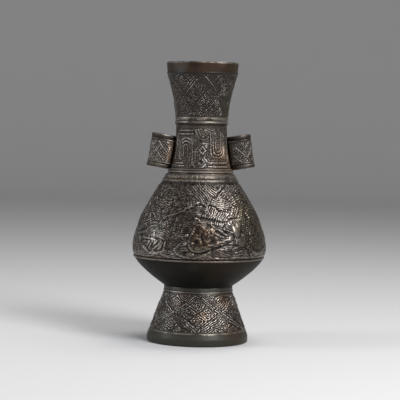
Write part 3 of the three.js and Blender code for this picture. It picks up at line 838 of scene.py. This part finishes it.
def waveGround(board):
    patches = np.array(wavePatches)
    places = spots(board, patches[:, :2])
    stray = waves["stray"] * (drift(board, size=4.0, seed=21) - 0.5)  # the patches' edges wander
    across = (board["angle"][:, None] - places[:, 0]) * board["radius"][:, None]
    upward = board["run"][:, None] - places[:, 1]
    away = np.hypot(across + stray[:, None], upward * waves["squash"] - stray[:, None])
    order = np.argsort(away, axis=1)[:, :2]
    rows = np.arange(len(order))
    first = order[:, 0]
    edge = away[rows, order[:, 1]] - away[rows, first]
    x, y, lean = across[rows, first], upward[rows, first], np.radians(patches[first, 2])
    along = x * np.cos(lean) + y * np.sin(lean)
    over = y * np.cos(lean) - x * np.sin(lean)
    sway = waves["sway"] * (drift(board, size=2.2, seed=31) - 0.5)
    sway = sway + waves["ripple"] * np.sin(along * waves["rippleRate"] + first)
    over = over + waves["bend"] * np.where(first % 2, 1, -1) * along ** 2 + sway
    step = math.tau / waves["pitch"]
    straighter = over - (1 - waves["combSway"]) * sway
    stripes = (over, straighter, np.hypot(x, y) + sway)  # line, comb and ring
    forms = [0.5 + 0.5 * np.cos(stripe * step) for stripe in stripes]
    pebbles = np.sin(over * step * waves["pebbleOver"])
    pebbles = pebbles * np.sin(along * step * waves["pebbleAlong"] + sway * waves["pebbleSway"])
    forms.append(np.abs(pebbles) ** waves["pebblePower"] - waves["pebbleSink"])
    form = np.choose(patches[first, 4].astype(int), forms)
    sound = waves["leastSound"] + waves["sound"] * drift(board, size=7.0, seed=41)  # rubbed flat in places
    board["height"] += waves["depth"] * patches[first, 3] * sound * form * ease01(edge / waves["edge"])
    board["height"] -= waves["cut"] * ease01(1 - edge / waves["cutWidth"])
    fades = (waves["lowFade"], waves["highFade"])
    board["height"] *= between(board["level"], waves["low"], waves["high"], *fades)


# width, height and lines of the sea's and the bank's standing crests, then of their furrows
seaRidges = [
    (1.0, 0.48, [[(-69.8, 70.4), (-56.3, 72.2), (-52.6, 74.4), (-49.3, 75.6), (-43, 76.2), (-39.9, 78.1),
                  (-37.8, 80.2), (-34.2, 82), (-27.8, 83.2), (-21.2, 84.8), (-14.8, 86.9)]]),
    (0.9, 0.26, [[(-44.5, 79.6), (-42.1, 82.4), (-39, 84.2), (-33.1, 85.8), (-27.1, 87)]]),
    (0.9, 0.4, [[(-56, 93), (-54.7, 96.4), (-51.4, 97.9), (-45, 99.4), (-36.8, 99.2)]]),
    (0.9, 0.2, [[(-14.9, 87.6), (-9.2, 88.7), (-4.7, 90.4), (0.7, 91.3), (5, 90.2), (9, 88)]]),
    (0.9, 0.3, [[(13, 88.2), (16.3, 87.6), (19.4, 85.3), (24.1, 84.8), (29.6, 84.3)]]),
    (1.1, 0.5, [[(52.1, 61), (59.9, 59.5), (71, 60.4), (78.5, 63)], [(66, 77), (67.5, 72.5), (67, 67.5)]]),
    (0.85, 0.5, [[(32, 60.5), (36, 60.8), (39.4, 61.6)], [(30.6, 58.9), (34.4, 59.1), (39.4, 59.9)],
                 [(29.6, 57.3), (34.7, 57.7), (44.7, 57.2)]]),
    (0.8, 0.35, [[(11.7, 62.6), (18.8, 62.7), (26.9, 62.5)]]),
    (0.8, 0.45, [[(8.2, 58.3), (12.8, 57.1), (21.2, 57.1)]]),
    (1.0, 0.5, [[(68, 96.5), (70, 92), (71, 87)]]),
    (0.9, 0.45, [[(50.5, 57.2), (55, 58.1), (59, 59.2)]]),
    (0.95, 0.55, [[(-34.1, 59), (-25.4, 57.2)], [(-19.1, 59.4), (-8.8, 57.2)], [(-5.4, 57), (4.7, 59.2)]]),
    (0.85, -0.55, [
        [(10, 89.6), (12.2, 89.3), (16.3, 88.7), (19.4, 86.4), (24.1, 85.9), (29.6, 85.4)],
        [(-4.4, 82.7), (3.6, 81.9), (12.6, 80.6), (21.7, 79.4), (28.2, 80), (31.7, 81.4), (40, 81.9)],
        [(38.7, 101.5), (29.3, 98.7), (17.3, 94.3)],
        [(-14.9, 86.3), (-9.2, 87.4), (-4.7, 89.1), (0.7, 90), (5, 88.9)],
        [(-9.6, 63), (-6.3, 60.9), (-0.3, 60.2), (3.8, 60.6), (8.4, 62), (14.5, 63.4), (21.4, 64.8),
         (28.6, 65.4), (36, 65)],
        [(-43.4, 92.2), (-36, 91.8), (-30, 93)]]),
]
rockRim = [(-64.3, 69.7), (-62.5, 65.3), (-54.2, 61.6), (-47.1, 58.9), (-42.4, 58.5), (-31.3, 60.5),
           (-29.8, 67.7), (-39.5, 69.9), (-52.9, 71)]
rockRidges = [  # rim, then veins
    (0.95, 0.36, [rockRim[:-1]]),
    (0.85, 0.36, [
        [(-56, 68.2), (-45.2, 67.8), (-38.5, 66.8), (-43, 63.9)], [(-55, 66.2), (-48, 66), (-50, 63.8)],
        [(-34.5, 66), (-38, 63.5), (-43.5, 61.2)], [(-33.4, 63.6), (-37, 61.4)], [(-46, 65), (-48, 62)]]),
]
seaBird = {
    "body": [(-3.8, 81.8), (-5.6, 78.8), (-4.9, 76.2), (-6.5, 72.8), (-8.6, 69.1), (-9.6, 66), (-8.7, 63),
             (-5.5, 61.2), (-0.3, 60.7), (8.4, 62.5), (14.5, 64), (21.4, 65.7), (28.3, 68), (31.7, 70.3),
             (27.3, 72), (21.3, 74.8), (13.4, 78.4), (7.3, 80.2), (0, 81.6)],
    "wing": [(0.5, 77.6), (6.1, 77.6), (12.6, 75.4), (19, 72.2), (23, 69.8), (15, 67.6), (8, 66.4), (3, 67.2),
             (0, 71.5)],
    "pearls": [(-11.9, 65.9), (-6, 66.2), (-10.9, 71.1), (-3.5, 81.5)], "pearlRadius": 1.1,
    "pearlHeight": 0.95, "boss": (35.3, 74.5), "bossRadius": 3.9, "bossHeight": 0.9, "bossTall": 1.3,
    "wingSkin": 0.34,
}
birdRidges = [  # plumes, slots between them, breast, keel and bill
    (0.95, 0.45, [
        [(11, 79.2), (14.5, 78.3), (18, 76.8), (23.5, 74.4)], [(10.8, 78), (12.4, 76.9), (13.6, 76.2)],
        [(17.5, 74.6), (21.5, 73), (25.4, 71.1)], [(13.5, 72.6), (17.5, 71.2), (22, 70.2)]]),
    (0.9, -0.6, [[(12, 78.1), (19.7, 75.4), (27, 71.8)], [(15.5, 73.8), (19.5, 72.2), (24, 70.4)],
                 [(2, 71.8), (1.6, 69.6), (2.4, 67.6)]]),
    (1.0, 0.34, [[(-5.5, 79.3), (-6.1, 76.8), (-4.7, 75.4), (-6, 72.8), (-8.4, 69.9), (-9.1, 67),
                  (-8.5, 64.5), (-6.4, 62.4)]]),
    (1.1, 0.24, [[(-2, 63.4), (3.5, 63.9), (7.4, 64.8), (12.1, 65.6), (19.5, 67.1), (27.8, 68.9)]]),
    (1.0, 0.6, [[(-1.2, 80.9), (0.2, 79.7), (2, 78.7), (3.4, 79.2)]]),
]


def drawBelly(board):
    waveGround(board)
    addRidges(board, seaRidges)
    rockMask = raiseShape(board, rockRim, height=0.2, smooth=False)
    hatch(board, rockMask, lean=55, pitch=1.5, depth=0.12)
    addRidges(board, rockRidges, smooth=False)
    bodyMask = raiseShape(board, seaBird["body"], height=0.24, bulge=0.28, moat=0.28)
    hatch(board, bodyMask, lean=-8, pitch=1.7, depth=0.14)
    wingMask = raiseShape(board, seaBird["wing"], height=0.46, bulge=0.16, moat=0.1)
    hatch(board, wingMask, lean=42, pitch=1.25, depth=0.09)
    roughen(board, seaBird["wingSkin"] * wingMask, size=1.0, seed=81)
    addRidges(board, birdRidges)
    for pearl in seaBird["pearls"]:
        addDome(board, pearl, seaBird["pearlRadius"], seaBird["pearlHeight"])
    addDome(board, seaBird["boss"], seaBird["bossRadius"], seaBird["bossHeight"], seaBird["bossTall"])
    lumpy = ease01((board["level"] - belly["lumpsFrom"]) / belly["lumpsFade"])
    roughen(board, amount=0.16, size=1.6, seed=51)
    roughen(board, amount=0.2, size=0.9, seed=53)
    roughen(board, belly["lumps"] * lumpy, size=3.6, seed=57)


def makeBelly():
    low, high, radius = vase["turn"], vase["shoulder"], vase["turnRadius"]
    joint = pt(vase["shoulderRadius"], high)[0]
    top = pt(belly["swellRadius"], belly["swellTop"])[0]
    ribLow = joint + (top - joint) * belly["rib"] / belly["band"]
    lineLow = joint + (top - joint) * (belly["rib"] + belly["line"]) / belly["band"]
    ends = ((belly["radius"], belly["widest"]), (belly["radius"], belly["lowPull"]), belly["highPull"], top)
    outer = swell(*ends, belly["gap"])
    socketTop = low + lap + play
    step = high - lap - play
    inner = insideOf(swell(*ends, belly["innerGap"]), wall)
    inner = inner[(inner[:, 1] < step) & (inner[:, 1] > socketTop)]
    ridgeTop = low + belly["ridge"]
    ridge = bead((radius, low), (radius, ridgeTop), belly["ridgeReach"], steps=5)
    groove = pt(radius - belly["groove"], ridgeTop + belly["grooveRise"],
                radius + belly["lip"], ridgeTop + belly["lipRise"])
    drum = spaced(np.vstack([groove[1], outer[0]]), belly["gap"], closed=False)[1:-1]
    outside = np.vstack([ridge, groove, drum, outer])
    outline = np.vstack([
        outside,
        bead(lineLow, ribLow, belly["reach"], steps=5),
        bead(ribLow, joint, belly["reach"], steps=8)[1:],
        pt(shoulderSocket, high, shoulderSocket, step),
        inner,
        pt(turnSocket, socketTop, turnSocket, low),
    ])
    piece = turn("bellySection", outline, belly, bellyBronze)
    carveLow, carveHigh = ridgeTop + belly["carveRise"], belly["swellTop"] + belly["carvePast"]
    board = layBoard(piece.data, outside[len(ridge) + 1:], carveLow, carveHigh)
    drawBelly(board)
    carve(piece, board)
    shoulder = layBoard(piece.data, np.vstack([top, joint]), belly["swellTop"], high - belly["bandEnd"])
    calmest = belly["calmest"]
    rougher = calmest + (1 - calmest) * ease01(belly["calmFrom"] - shoulder["angle"])  # rougher at the left
    roughen(shoulder, belly["skin"] * rougher, size=1.1, seed=91)
    carve(piece, shoulder)
    edge = layBoard(piece.data, ridge[[0, -1]], low + belly["ridgeEnd"], ridgeTop - belly["ridgeEnd"])
    roughen(edge, belly["skin"], size=1.6, seed=95)
    carve(piece, edge)
    markRaised(piece, *belly["wear"], [
        (belly["swellTop"], high + pastEnd, belly["bandWear"]),
        (low - pastEnd, ridgeTop, belly["ridgeWear"])])
    print("belly carved")
    return piece


neck = {
    "baseRadius": 19.7, "bottom": 111.9, "top": 139.8, "beadReach": 0.8, "bandReach": 0.6, "bandFrom": 0.22,
    "split": 0.56, "groove": 0.35, "gap": 0.22, "innerGap": 3.0, "round": 0.25, "rows": 2.0, "columns": 520,
    "wear": (0.32, 30), "mouldingWear": 0.9, "bandStep": 0.15, "fretRise": 0.3, "fretDrop": 0.4,
}
fret = {
    "height": 0.6, "half": 0.6, "echo": 0.3, "echoPitch": 1.25, "echoFrom": 2.4, "echoReach": 6.0,
    "sink": 0.25, "low": 112.2, "high": 138.6, "fade": 0.8, "echoSoft": 0.4, "leastSound": 0.6, "sound": 0.5,
}
fretBands = [
    [(-48, 118), (-48.8, 124.5), (-49.5, 128.7), (-43.3, 130.5), (-34.6, 131.2), (-25.6, 130.7), (-21, 128.7),
     (-19, 123.3), (-17.6, 117.9), (-17.2, 114.2)],
    [(-43.3, 117.6), (-44.6, 126), (-41.5, 128.7), (-34.8, 129.4), (-28, 128.8), (-24.6, 126.3), (-23, 117)],
    [(-38.2, 119.6), (-40, 124.6), (-38.6, 126.6), (-34.6, 127.2), (-30.6, 126.6), (-28.8, 124.7),
     (-28.2, 119.6)],
    [(-12.2, 122.9), (-12.1, 118.9), (-12.6, 115.5)],
    [(-56, 115.3), (-36.6, 115.4)], [(-56, 113.6), (-34.8, 113.7)],
    [(20.9, 134.5), (21.2, 127.5), (21.1, 121.6), (25, 119.7), (35.8, 119.1), (47.1, 119.8), (54.3, 121.9),
     (58.3, 127.6), (58.5, 132.6)],
    [(26.2, 134.8), (26.5, 128), (26.8, 123.6), (30, 121.4), (37.2, 120.9), (45, 121.4), (50.3, 123.6),
     (53, 128), (53.2, 134)],
    [(31.4, 135.3), (32, 130.1), (32.4, 124.8), (34.5, 123.2), (38.4, 122.8), (43.3, 123.3), (46.6, 125.2),
     (47.8, 130.1), (47.8, 135.1)],
    [(72, 132), (71, 125), (67, 118.1), (61.8, 116.3), (46.7, 115.8), (24.2, 115.8), (14.2, 116.1),
     (9, 117.6), (5.6, 119.3)],
    [(14.5, 113.4), (34.1, 113.3), (61.2, 113.5)],
    [(-13.6, 136.6), (-11.2, 134.5), (-6.8, 132.1), (1.5, 130.4), (10.9, 130.7), (14.9, 132)],
    [(-6.7, 136.7), (-5.3, 134.8), (-1.2, 132.8), (4.8, 132.1)],
    [(8, 136.4), (15.1, 135.7), (19.1, 134.2)],
    [(-16.8, 114.7), (-10.9, 113), (-3.9, 112.7), (3.3, 113.2), (8.5, 114.8)],
    [(-62, 118), (-62, 134)], [(-20, 136.2), (-55, 136)], [(-20, 134), (-55, 133.8)],
]
fretShapes = [  # height, bulge, moat and corners of plate, diamond, eye and pit
    (0.6, 0.1, 0.0, [(2, 128.5), (14.4, 128.3), (13.9, 125), (8.5, 125), (3.5, 126.8)]),
    (0.6, 0.0, 0.25, [(2.9, 126.5), (11.6, 123.5), (2.9, 120.4), (-5.8, 123.5)]),
    (0.15, 0.0, 0.0, [(2.9, 125), (7.2, 123.5), (2.9, 122), (-1.4, 123.5)]),
    (-0.35, 0.0, 0.0, [(0, 118.1), (5, 116.6), (0.3, 115), (-4.7, 116.5)]),
]
# the fret ends at the ears' saddles, between two levels and from an angle on
earSeat = {"low": 114.5, "high": 130.8, "fade": 1.2, "from": 74.0, "turnFade": 5}


def drawNeck(board):
    half = fret["half"]
    lines = [flow(spots(board, points)) for points in fretBands]
    gap = np.minimum.reduce([gapTo(board, points, fret["echoReach"]) for points in lines])
    echo = 0.5 + 0.5 * np.cos((gap - half * fret["echoFrom"]) / fret["echoPitch"] * math.tau)
    beside = ease01((gap - half) / fret["echoSoft"]) * np.where(gap < farAway, 1, 0)
    board["height"] += fret["echo"] * echo * beside
    for points in fretBands:
        addBand(board, points, half, fret["height"])
    for height, bulge, moat, corners in fretShapes:
        raiseShape(board, corners, height, bulge, moat, soft=0.3, smooth=False)
    board["height"] *= fret["leastSound"] + fret["sound"] * drift(board, size=6.0, seed=61)  # worn in places
    roughen(board, amount=0.14, size=1.5, seed=71)
    roughen(board, amount=0.24, size=0.7, seed=73)
    board["height"] -= fret["sink"]
    board["height"] *= between(board["level"], fret["low"], fret["high"], fret["fade"])
    seated = ease01((np.degrees(np.abs(board["angle"])) - earSeat["from"]) / earSeat["turnFade"])
    board["height"] *= 1 - seated * between(board["level"], earSeat["low"], earSeat["high"], earSeat["fade"])


def neckLine(gap):
    low, high, radius = neck["bottom"], neck["top"], vase["neckRadius"]
    return bow((neck["baseRadius"], low), (radius, (low + high) / 2), (radius, high), gap)


def makeNeck():
    low, high, radius = vase["shoulder"], vase["neckBead"], vase["neckRadius"]
    seat = pt(vase["shoulderRadius"], low)[0]
    base = pt(neck["baseRadius"], neck["bottom"])[0]
    bandLow = seat + (base - seat) * neck["bandFrom"]
    ridgeMeet = bandLow + (base - bandLow) * neck["split"]
    step = high - lap - play
    inner = insideOf(neckLine(neck["innerGap"]), wall)
    inner = inner[inner[:, 1] < step]
    spigot = shoulderSocket - play
    bore = vase["shoulderRadius"] - wall
    outline = np.vstack([
        pt(spigot, low - lap, spigot, low),
        pt(seat[0] - neck["groove"], low, bandLow[0] - neck["groove"], bandLow[1] - neck["bandStep"]),
        bead(bandLow, ridgeMeet, neck["bandReach"], steps=5),
        bead(ridgeMeet, base, neck["bandReach"], steps=5)[1:],
        neckLine(neck["gap"])[1:],
        bead((radius, neck["top"]), (radius, high), neck["beadReach"], steps=10)[1:],
        pt(mouthSocket, high, mouthSocket, step, inner[0, 0], step),
        inner,
        pt(bore, low, bore, low - lap),
    ])
    piece = turn("neckSection", outline, neck, neckBronze)
    fretLow, fretHigh = neck["bottom"] + neck["fretRise"], neck["top"] - neck["fretDrop"]
    board = layBoard(piece.data, neckLine(neck["gap"]), fretLow, fretHigh)
    drawNeck(board)
    carve(piece, board)
    cutPegHoles(piece)
    share = neck["mouldingWear"]
    markRaised(piece, *neck["wear"], [(low - pastEnd, fretLow, share), (fretHigh, high + pastEnd, share)])
    print("neck carved")
    return piece


mouth = {
    "throat": 16.9, "bottom": 145.0, "pull": 154.47, "lipBase": 22.6, "lineLow": 172.3, "lipLow": 173.4,
    "lipRadius": 23.2, "edge": 0.7, "beadReach": 0.7, "lineReach": 0.4, "gap": 0.24, "innerGap": 1.6,
    "round": 0.3, "rows": 0.8, "columns": 500, "wear": (0.3, 30), "beadWear": 1.6, "lipWear": 0.35,
    "rimWear": 1.2, "rim": 1.2,
}
mouthLattice = {
    "radius": 19.0, "Bottom": 145.4, "Top": 171.9, "Repeats": 5.0, "Tiers": 1.0, "Strap": 0.42,
    "Line Place": 1.2, "Line Width": 0.24, "Curl Place": 1.8, "Curl Turns": 3.2, "Relief": 0.68,
    "Grain": 0.8, "Wobble": 0.09, "Wear": 0.7, "Seed": 5.0,
}


def makeMouth():
    low, top, edge, radius = vase["neckBead"], vase["lip"], mouth["edge"], vase["neckRadius"]
    bottom, lineLow, outer = mouth["bottom"], mouth["lineLow"], mouth["lipRadius"]
    spigot = mouthSocket - play
    bore = radius - wall
    lipBase = (mouth["lipBase"], lineLow)
    ends = ((mouth["throat"], bottom), (mouth["throat"], mouth["pull"]), lipBase)
    inner = insideOf(bow(*ends, mouth["innerGap"]), wall)
    inner = inner[inner[:, 1] > bottom]
    outline = np.vstack([
        pt(spigot, low - lap, spigot, low),
        bead((radius, low), (radius, bottom), mouth["beadReach"], steps=10),
        bow(*ends, mouth["gap"]),
        bead(lipBase, (lipBase[0], mouth["lipLow"]), mouth["lineReach"], steps=6)[1:],
        pt(outer, top - edge, outer - edge, top, outer - wall + edge, top, outer - wall, top - edge),
        inner,
        pt(bore, low, bore, low - lap),
    ])
    piece = turn("mouthSection", outline, mouth, mouthBronze)
    lattice(piece, mouthBronze, mouthLattice)
    rimLow = top - mouth["rim"]
    markRaised(piece, *mouth["wear"], [
        (low - pastEnd, bottom, mouth["beadWear"]), (lineLow - zoneEdge, rimLow, mouth["lipWear"]),
        (rimLow, top + pastEnd, mouth["rimWear"])])
    return piece


ear = {
    "radius": 7.4, "bore": 5.6, "length": 21.6, "level": 122.7, "gap": 0.65, "tilt": 9.0, "bead": 2.6,
    "line": 0.9, "beadReach": 0.35, "lineReach": 0.3, "root": -6.5, "seatWidth": 6.0, "seatHeight": 18.6,
    "seatGap": 0.06, "peg": 1.6, "pegPitch": 7.6, "pegProud": 0.5, "pegSides": 28, "strip": -4.6,
    "web": 0.75, "webEnd": 8.2, "webPower": 14, "soft": 0.6, "skin": 0.8, "round": 0.3, "rows": 0.22,
    "columns": 232, "wear": (0.25, 20), "beadWear": 1.3, "pegEase": 0.3, "pegTip": 0.8, "holePast": 2.0,
}
earLattice = {
    "radius": 7.4, "Bottom": -6.6, "Top": 6.6, "Repeats": 7.0, "Tiers": 2.0, "Strap": 0.3, "Line Place": 0.0,
    "Line Width": 0.2, "Curl Place": 0.6, "Curl Turns": 1.2, "Relief": 0.7, "Grain": 0.5, "Wobble": 0.16,
    "Wear": 0.5, "Seed": 8.0,
}
neckCurve = neckLine(neck["gap"])
earOffset = np.interp(ear["level"], neckCurve[:, 1], neckCurve[:, 0]) + ear["gap"] + ear["radius"]
tiltSin, tiltCos = math.sin(math.radians(ear["tilt"])), math.cos(math.radians(ear["tilt"]))
pegLevels = (-ear["pegPitch"] / 2, ear["pegPitch"] / 2)


def toVase(mesh, side):  # from the tube's own axis to its place beside the neck
    x, y, z = readPoints(mesh).T / mm
    across = (earOffset + x * tiltCos - z * tiltSin) * side
    writePoints(mesh, np.column_stack([across, y * side, ear["level"] + x * tiltSin + z * tiltCos]) * mm)


def neckFace(y, z, inset, rounds=5):  # where the neck's wall lies along the tube's own x
    x = np.full(len(y), ear["root"])
    for _ in range(rounds):
        radius = np.interp(ear["level"] + x * tiltSin + z * tiltCos, neckCurve[:, 1], neckCurve[:, 0])
        x = (np.sqrt((radius + inset) ** 2 - y ** 2) - earOffset + z * tiltSin) / tiltCos
    return x


def newMesh(name, points, faces):
    mesh = bpy.data.meshes.new(name)
    mesh.from_pydata(points, [], faces)
    return mesh


def tubeFaces(rings, sides):  # quads between rings of points
    corners = [(k * sides + i, k * sides + (i + 1) % sides) for k in range(rings - 1) for i in range(sides)]
    return [(a, b, b + sides, a + sides) for a, b in corners]


def seatMesh(across=9, down=17):  # saddle between tube and neck, a block between two grids of points
    y, z = np.meshgrid(np.linspace(-0.5, 0.5, across) * ear["seatWidth"],
                       np.linspace(-0.5, 0.5, down) * ear["seatHeight"], indexing="ij")
    y, z = y.ravel(), z.ravel()
    near = np.column_stack([np.full(len(y), ear["root"]), y, z])
    far = np.column_stack([neckFace(y, z, ear["seatGap"]), y, z])
    index = np.arange(across * down).reshape(across, down)
    sheet = np.stack([index[:-1, :-1], index[1:, :-1], index[1:, 1:], index[:-1, 1:]], axis=-1).reshape(-1, 4)
    border = np.concatenate([index[0], index[1:, -1], index[-1, -2::-1], index[-2:0:-1, 0]])
    after = np.roll(border, -1)
    sides = np.column_stack([border, after, after + index.size, border + index.size])
    faces = np.vstack([sheet, sheet[:, ::-1] + index.size, sides])
    return newMesh("earSeat", np.vstack([near, far]) * mm, faces.tolist())


def pegMesh(level, radius, proud):  # round tenon through the neck's wall, with an eased end
    sides = ear["pegSides"]
    turns = np.linspace(0, math.tau, sides, endpoint=False)
    y, z = radius * np.cos(turns), radius * np.sin(turns)
    end = neckFace(np.zeros(1), np.array([level]), -wall - proud)[0]
    rings = [np.column_stack([np.full(sides, x), y * share, level + z * share])
             for x, share in ((ear["root"], 1), (end + ear["pegEase"], 1), (end, ear["pegTip"]))]
    caps = [tuple(range(sides - 1, -1, -1)), tuple(range(2 * sides, 3 * sides))]
    return newMesh("earPeg", np.vstack(rings) * mm, tubeFaces(len(rings), sides) + caps)


def join(piece, mesh, operation):
    bm = bmesh.new()
    bm.from_mesh(mesh)
    bmesh.ops.recalc_face_normals(bm, faces=bm.faces)
    bm.to_mesh(mesh)
    bm.free()
    mesh.shade_smooth()
    mesh.materials.append(piece.data.materials[0])
    tool = newPiece("tool", mesh)
    modifier = piece.modifiers.new("join", "BOOLEAN")
    modifier.operation = operation
    modifier.object = tool
    modifier.solver = "MANIFOLD"
    bakeModifiers(piece)
    bpy.data.objects.remove(tool)


def shapeTube(mesh, smoothEnd):  # smooth and squared towards the neck, where solder fills the corner
    co = readPoints(mesh) / mm
    reach = np.hypot(co[:, 0], co[:, 1])
    outer = reach > ear["bore"] + ear["skin"]
    smooth = np.where(outer & (abs(co[:, 2]) < smoothEnd), ease01((ear["strip"] - co[:, 0]) / ear["soft"]), 0)
    co[:, :2] *= (1 + smooth * (ear["radius"] / reach - 1))[:, None]
    reach = np.hypot(co[:, 0], co[:, 1])
    flat = np.clip(-co[:, 0] / reach, 0, 1)
    bulge = np.sqrt(1 - flat ** 2 * (1 - ear["web"] ** 2))
    fuller = (flat ** ear["webPower"] + bulge ** ear["webPower"]) ** (-1 / ear["webPower"])
    filled = outer * ease01((ear["webEnd"] - abs(co[:, 2])) / ear["soft"])
    co[:, :2] *= (1 + (fuller - 1) * filled)[:, None]
    writePoints(mesh, co * mm)


def makeEar(name, side):
    half, radius, bore = ear["length"] / 2, ear["radius"], ear["bore"]
    beadFrom = half - ear["bead"]
    lineTo = beadFrom - ear["line"] / 2
    lineFrom = lineTo - ear["line"]
    rings = [
        (-half, -beadFrom, ear["beadReach"], 8), (-lineTo, -lineFrom, ear["lineReach"], 6),
        (lineFrom, lineTo, ear["lineReach"], 6), (beadFrom, half, ear["beadReach"], 8)]
    beads = [bead((radius, low), (radius, high), reach, steps) for low, high, reach, steps in rings]
    piece = turn(name, np.vstack(beads + [pt(bore, half, bore, -half)]), ear, earBronze)
    lattice(piece, earBronze, earLattice)
    shapeTube(piece.data, lineFrom)
    join(piece, seatMesh(), "UNION")
    for level in pegLevels:
        join(piece, pegMesh(level, ear["peg"], ear["pegProud"]), "UNION")
    share = ear["beadWear"]
    plain = [(-half - pastEnd, -lineFrom, share), (lineFrom, half + pastEnd, share)]
    markRaised(piece, *ear["wear"], plain, seatFrom=-radius - ear["beadReach"])
    toVase(piece.data, side)
    return piece


def cutPegHoles(piece):
    for side in (1, -1):
        for level in pegLevels:
            mesh = pegMesh(level, ear["peg"] + play, ear["pegProud"] + ear["holePast"])
            toVase(mesh, side)
            join(piece, mesh, "DIFFERENCE")


pieces = {
    "foot_skirt": (makeFoot(), "relief_bronze"), "lower_bowl": (makeBowl(), "plain_bronze"),
    "floor_plate": (makeFloorPlate(), "inner_bronze"), "belly_section": (makeBelly(), "relief_bronze"),
    "neck_section": (makeNeck(), "relief_bronze"), "mouth_section": (makeMouth(), "relief_bronze"),
    "right_ear_tube": (makeEar("rightEarTube", 1), "relief_bronze"),
    "left_ear_tube": (makeEar("leftEarTube", -1), "relief_bronze"),
}
for node, (piece, slot) in pieces.items():
    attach(piece, "root")
    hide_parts(node)
    print(piece.name, sum(len(face.vertices) - 2 for face in piece.data.polygons), "triangles")


def aimed(name, data, place, target):  # camera or lamp that looks at a place
    holder = newPiece(name, data)
    holder.location = place
    holder.rotation_euler = (Vector(target) - Vector(place)).to_track_quat("-Z", "Y").to_euler()
    return holder


view = {"eye": (0.0, -1.036, 0.146), "aim": (0.0, 0.0, 0.09125), "lens": 144.5, "roll": 1.2}
lens = bpy.data.cameras.new("photoCamera")
lens.lens = view["lens"]
camera = aimed("photoCamera", lens, view["eye"], view["aim"])
camera.rotation_euler.rotate_axis("Z", math.radians(view["roll"]))
bpy.context.scene.camera = camera

# round floor that curves up into a low wall, in metres
floorSizes = {
    "middle": 0.3, "ring": 0.9, "flat": 1.7, "curve": 0.6, "top": 1.1, "sides": 96, "steps": 16,
    "tint": (0.7, 0.7, 0.71, 1), "rough": 0.75,
}


def makeFloor():
    flat, radius, sides = floorSizes["flat"], floorSizes["curve"], floorSizes["sides"]
    bend = np.linspace(0, math.pi / 2, floorSizes["steps"])
    outline = [(floorSizes["middle"], 0.0), (floorSizes["ring"], 0.0)]
    outline += [(flat + radius * math.sin(a), radius - radius * math.cos(a)) for a in bend]
    outline.append((flat + radius, floorSizes["top"]))
    turns = np.linspace(0, math.tau, sides, endpoint=False)
    points = [(r * math.cos(a), r * math.sin(a), z) for r, z in outline for a in turns]
    faces = [face[::-1] for face in tubeFaces(len(outline), sides)]
    mesh = newMesh("floor", points, faces + [tuple(range(sides))])
    mesh.shade_smooth()
    paint = bpy.data.materials.new("paleFloor")
    paint.use_nodes = True
    shader = paint.node_tree.nodes["Principled BSDF"]
    shader.inputs["Base Color"].default_value = floorSizes["tint"]
    shader.inputs["Roughness"].default_value = floorSizes["rough"]
    mesh.materials.append(paint)
    floor = newPiece("floor", mesh)


makeFloor()

lamps = {  # place, width, height, power and tint
    "keyRight": ((0.5, -0.62, 0.72), 0.34, 0.55, 9.0, (1.0, 1.0, 1.0)),
    "sideLeft": ((-0.85, -0.16, 0.5), 0.2, 0.7, 2.9, (0.9, 0.95, 1.0)),
    "over": ((0.2, 0.1, 1.1), 0.5, 0.5, 4.5, (1.0, 0.97, 0.93)),
}
lampTarget = (0, 0, 0.09)
for name, (place, wide, tall, power, tint) in lamps.items():
    light = bpy.data.lights.new(name, "AREA")
    light.shape = "RECTANGLE"
    light.size, light.size_y = wide, tall
    light.energy, light.color = power, tint
    aimed(name, light, place, lampTarget)

studio = {"tint": (0.8, 0.8, 0.8, 1), "strength": 0.22}
world = bpy.data.worlds.new("studio")
world.use_nodes = True
sky = world.node_tree.nodes["Background"].inputs
sky["Color"].default_value = studio["tint"]
sky["Strength"].default_value = studio["strength"]
bpy.context.scene.world = world
bpy.context.scene.view_settings.view_transform = "Standard"
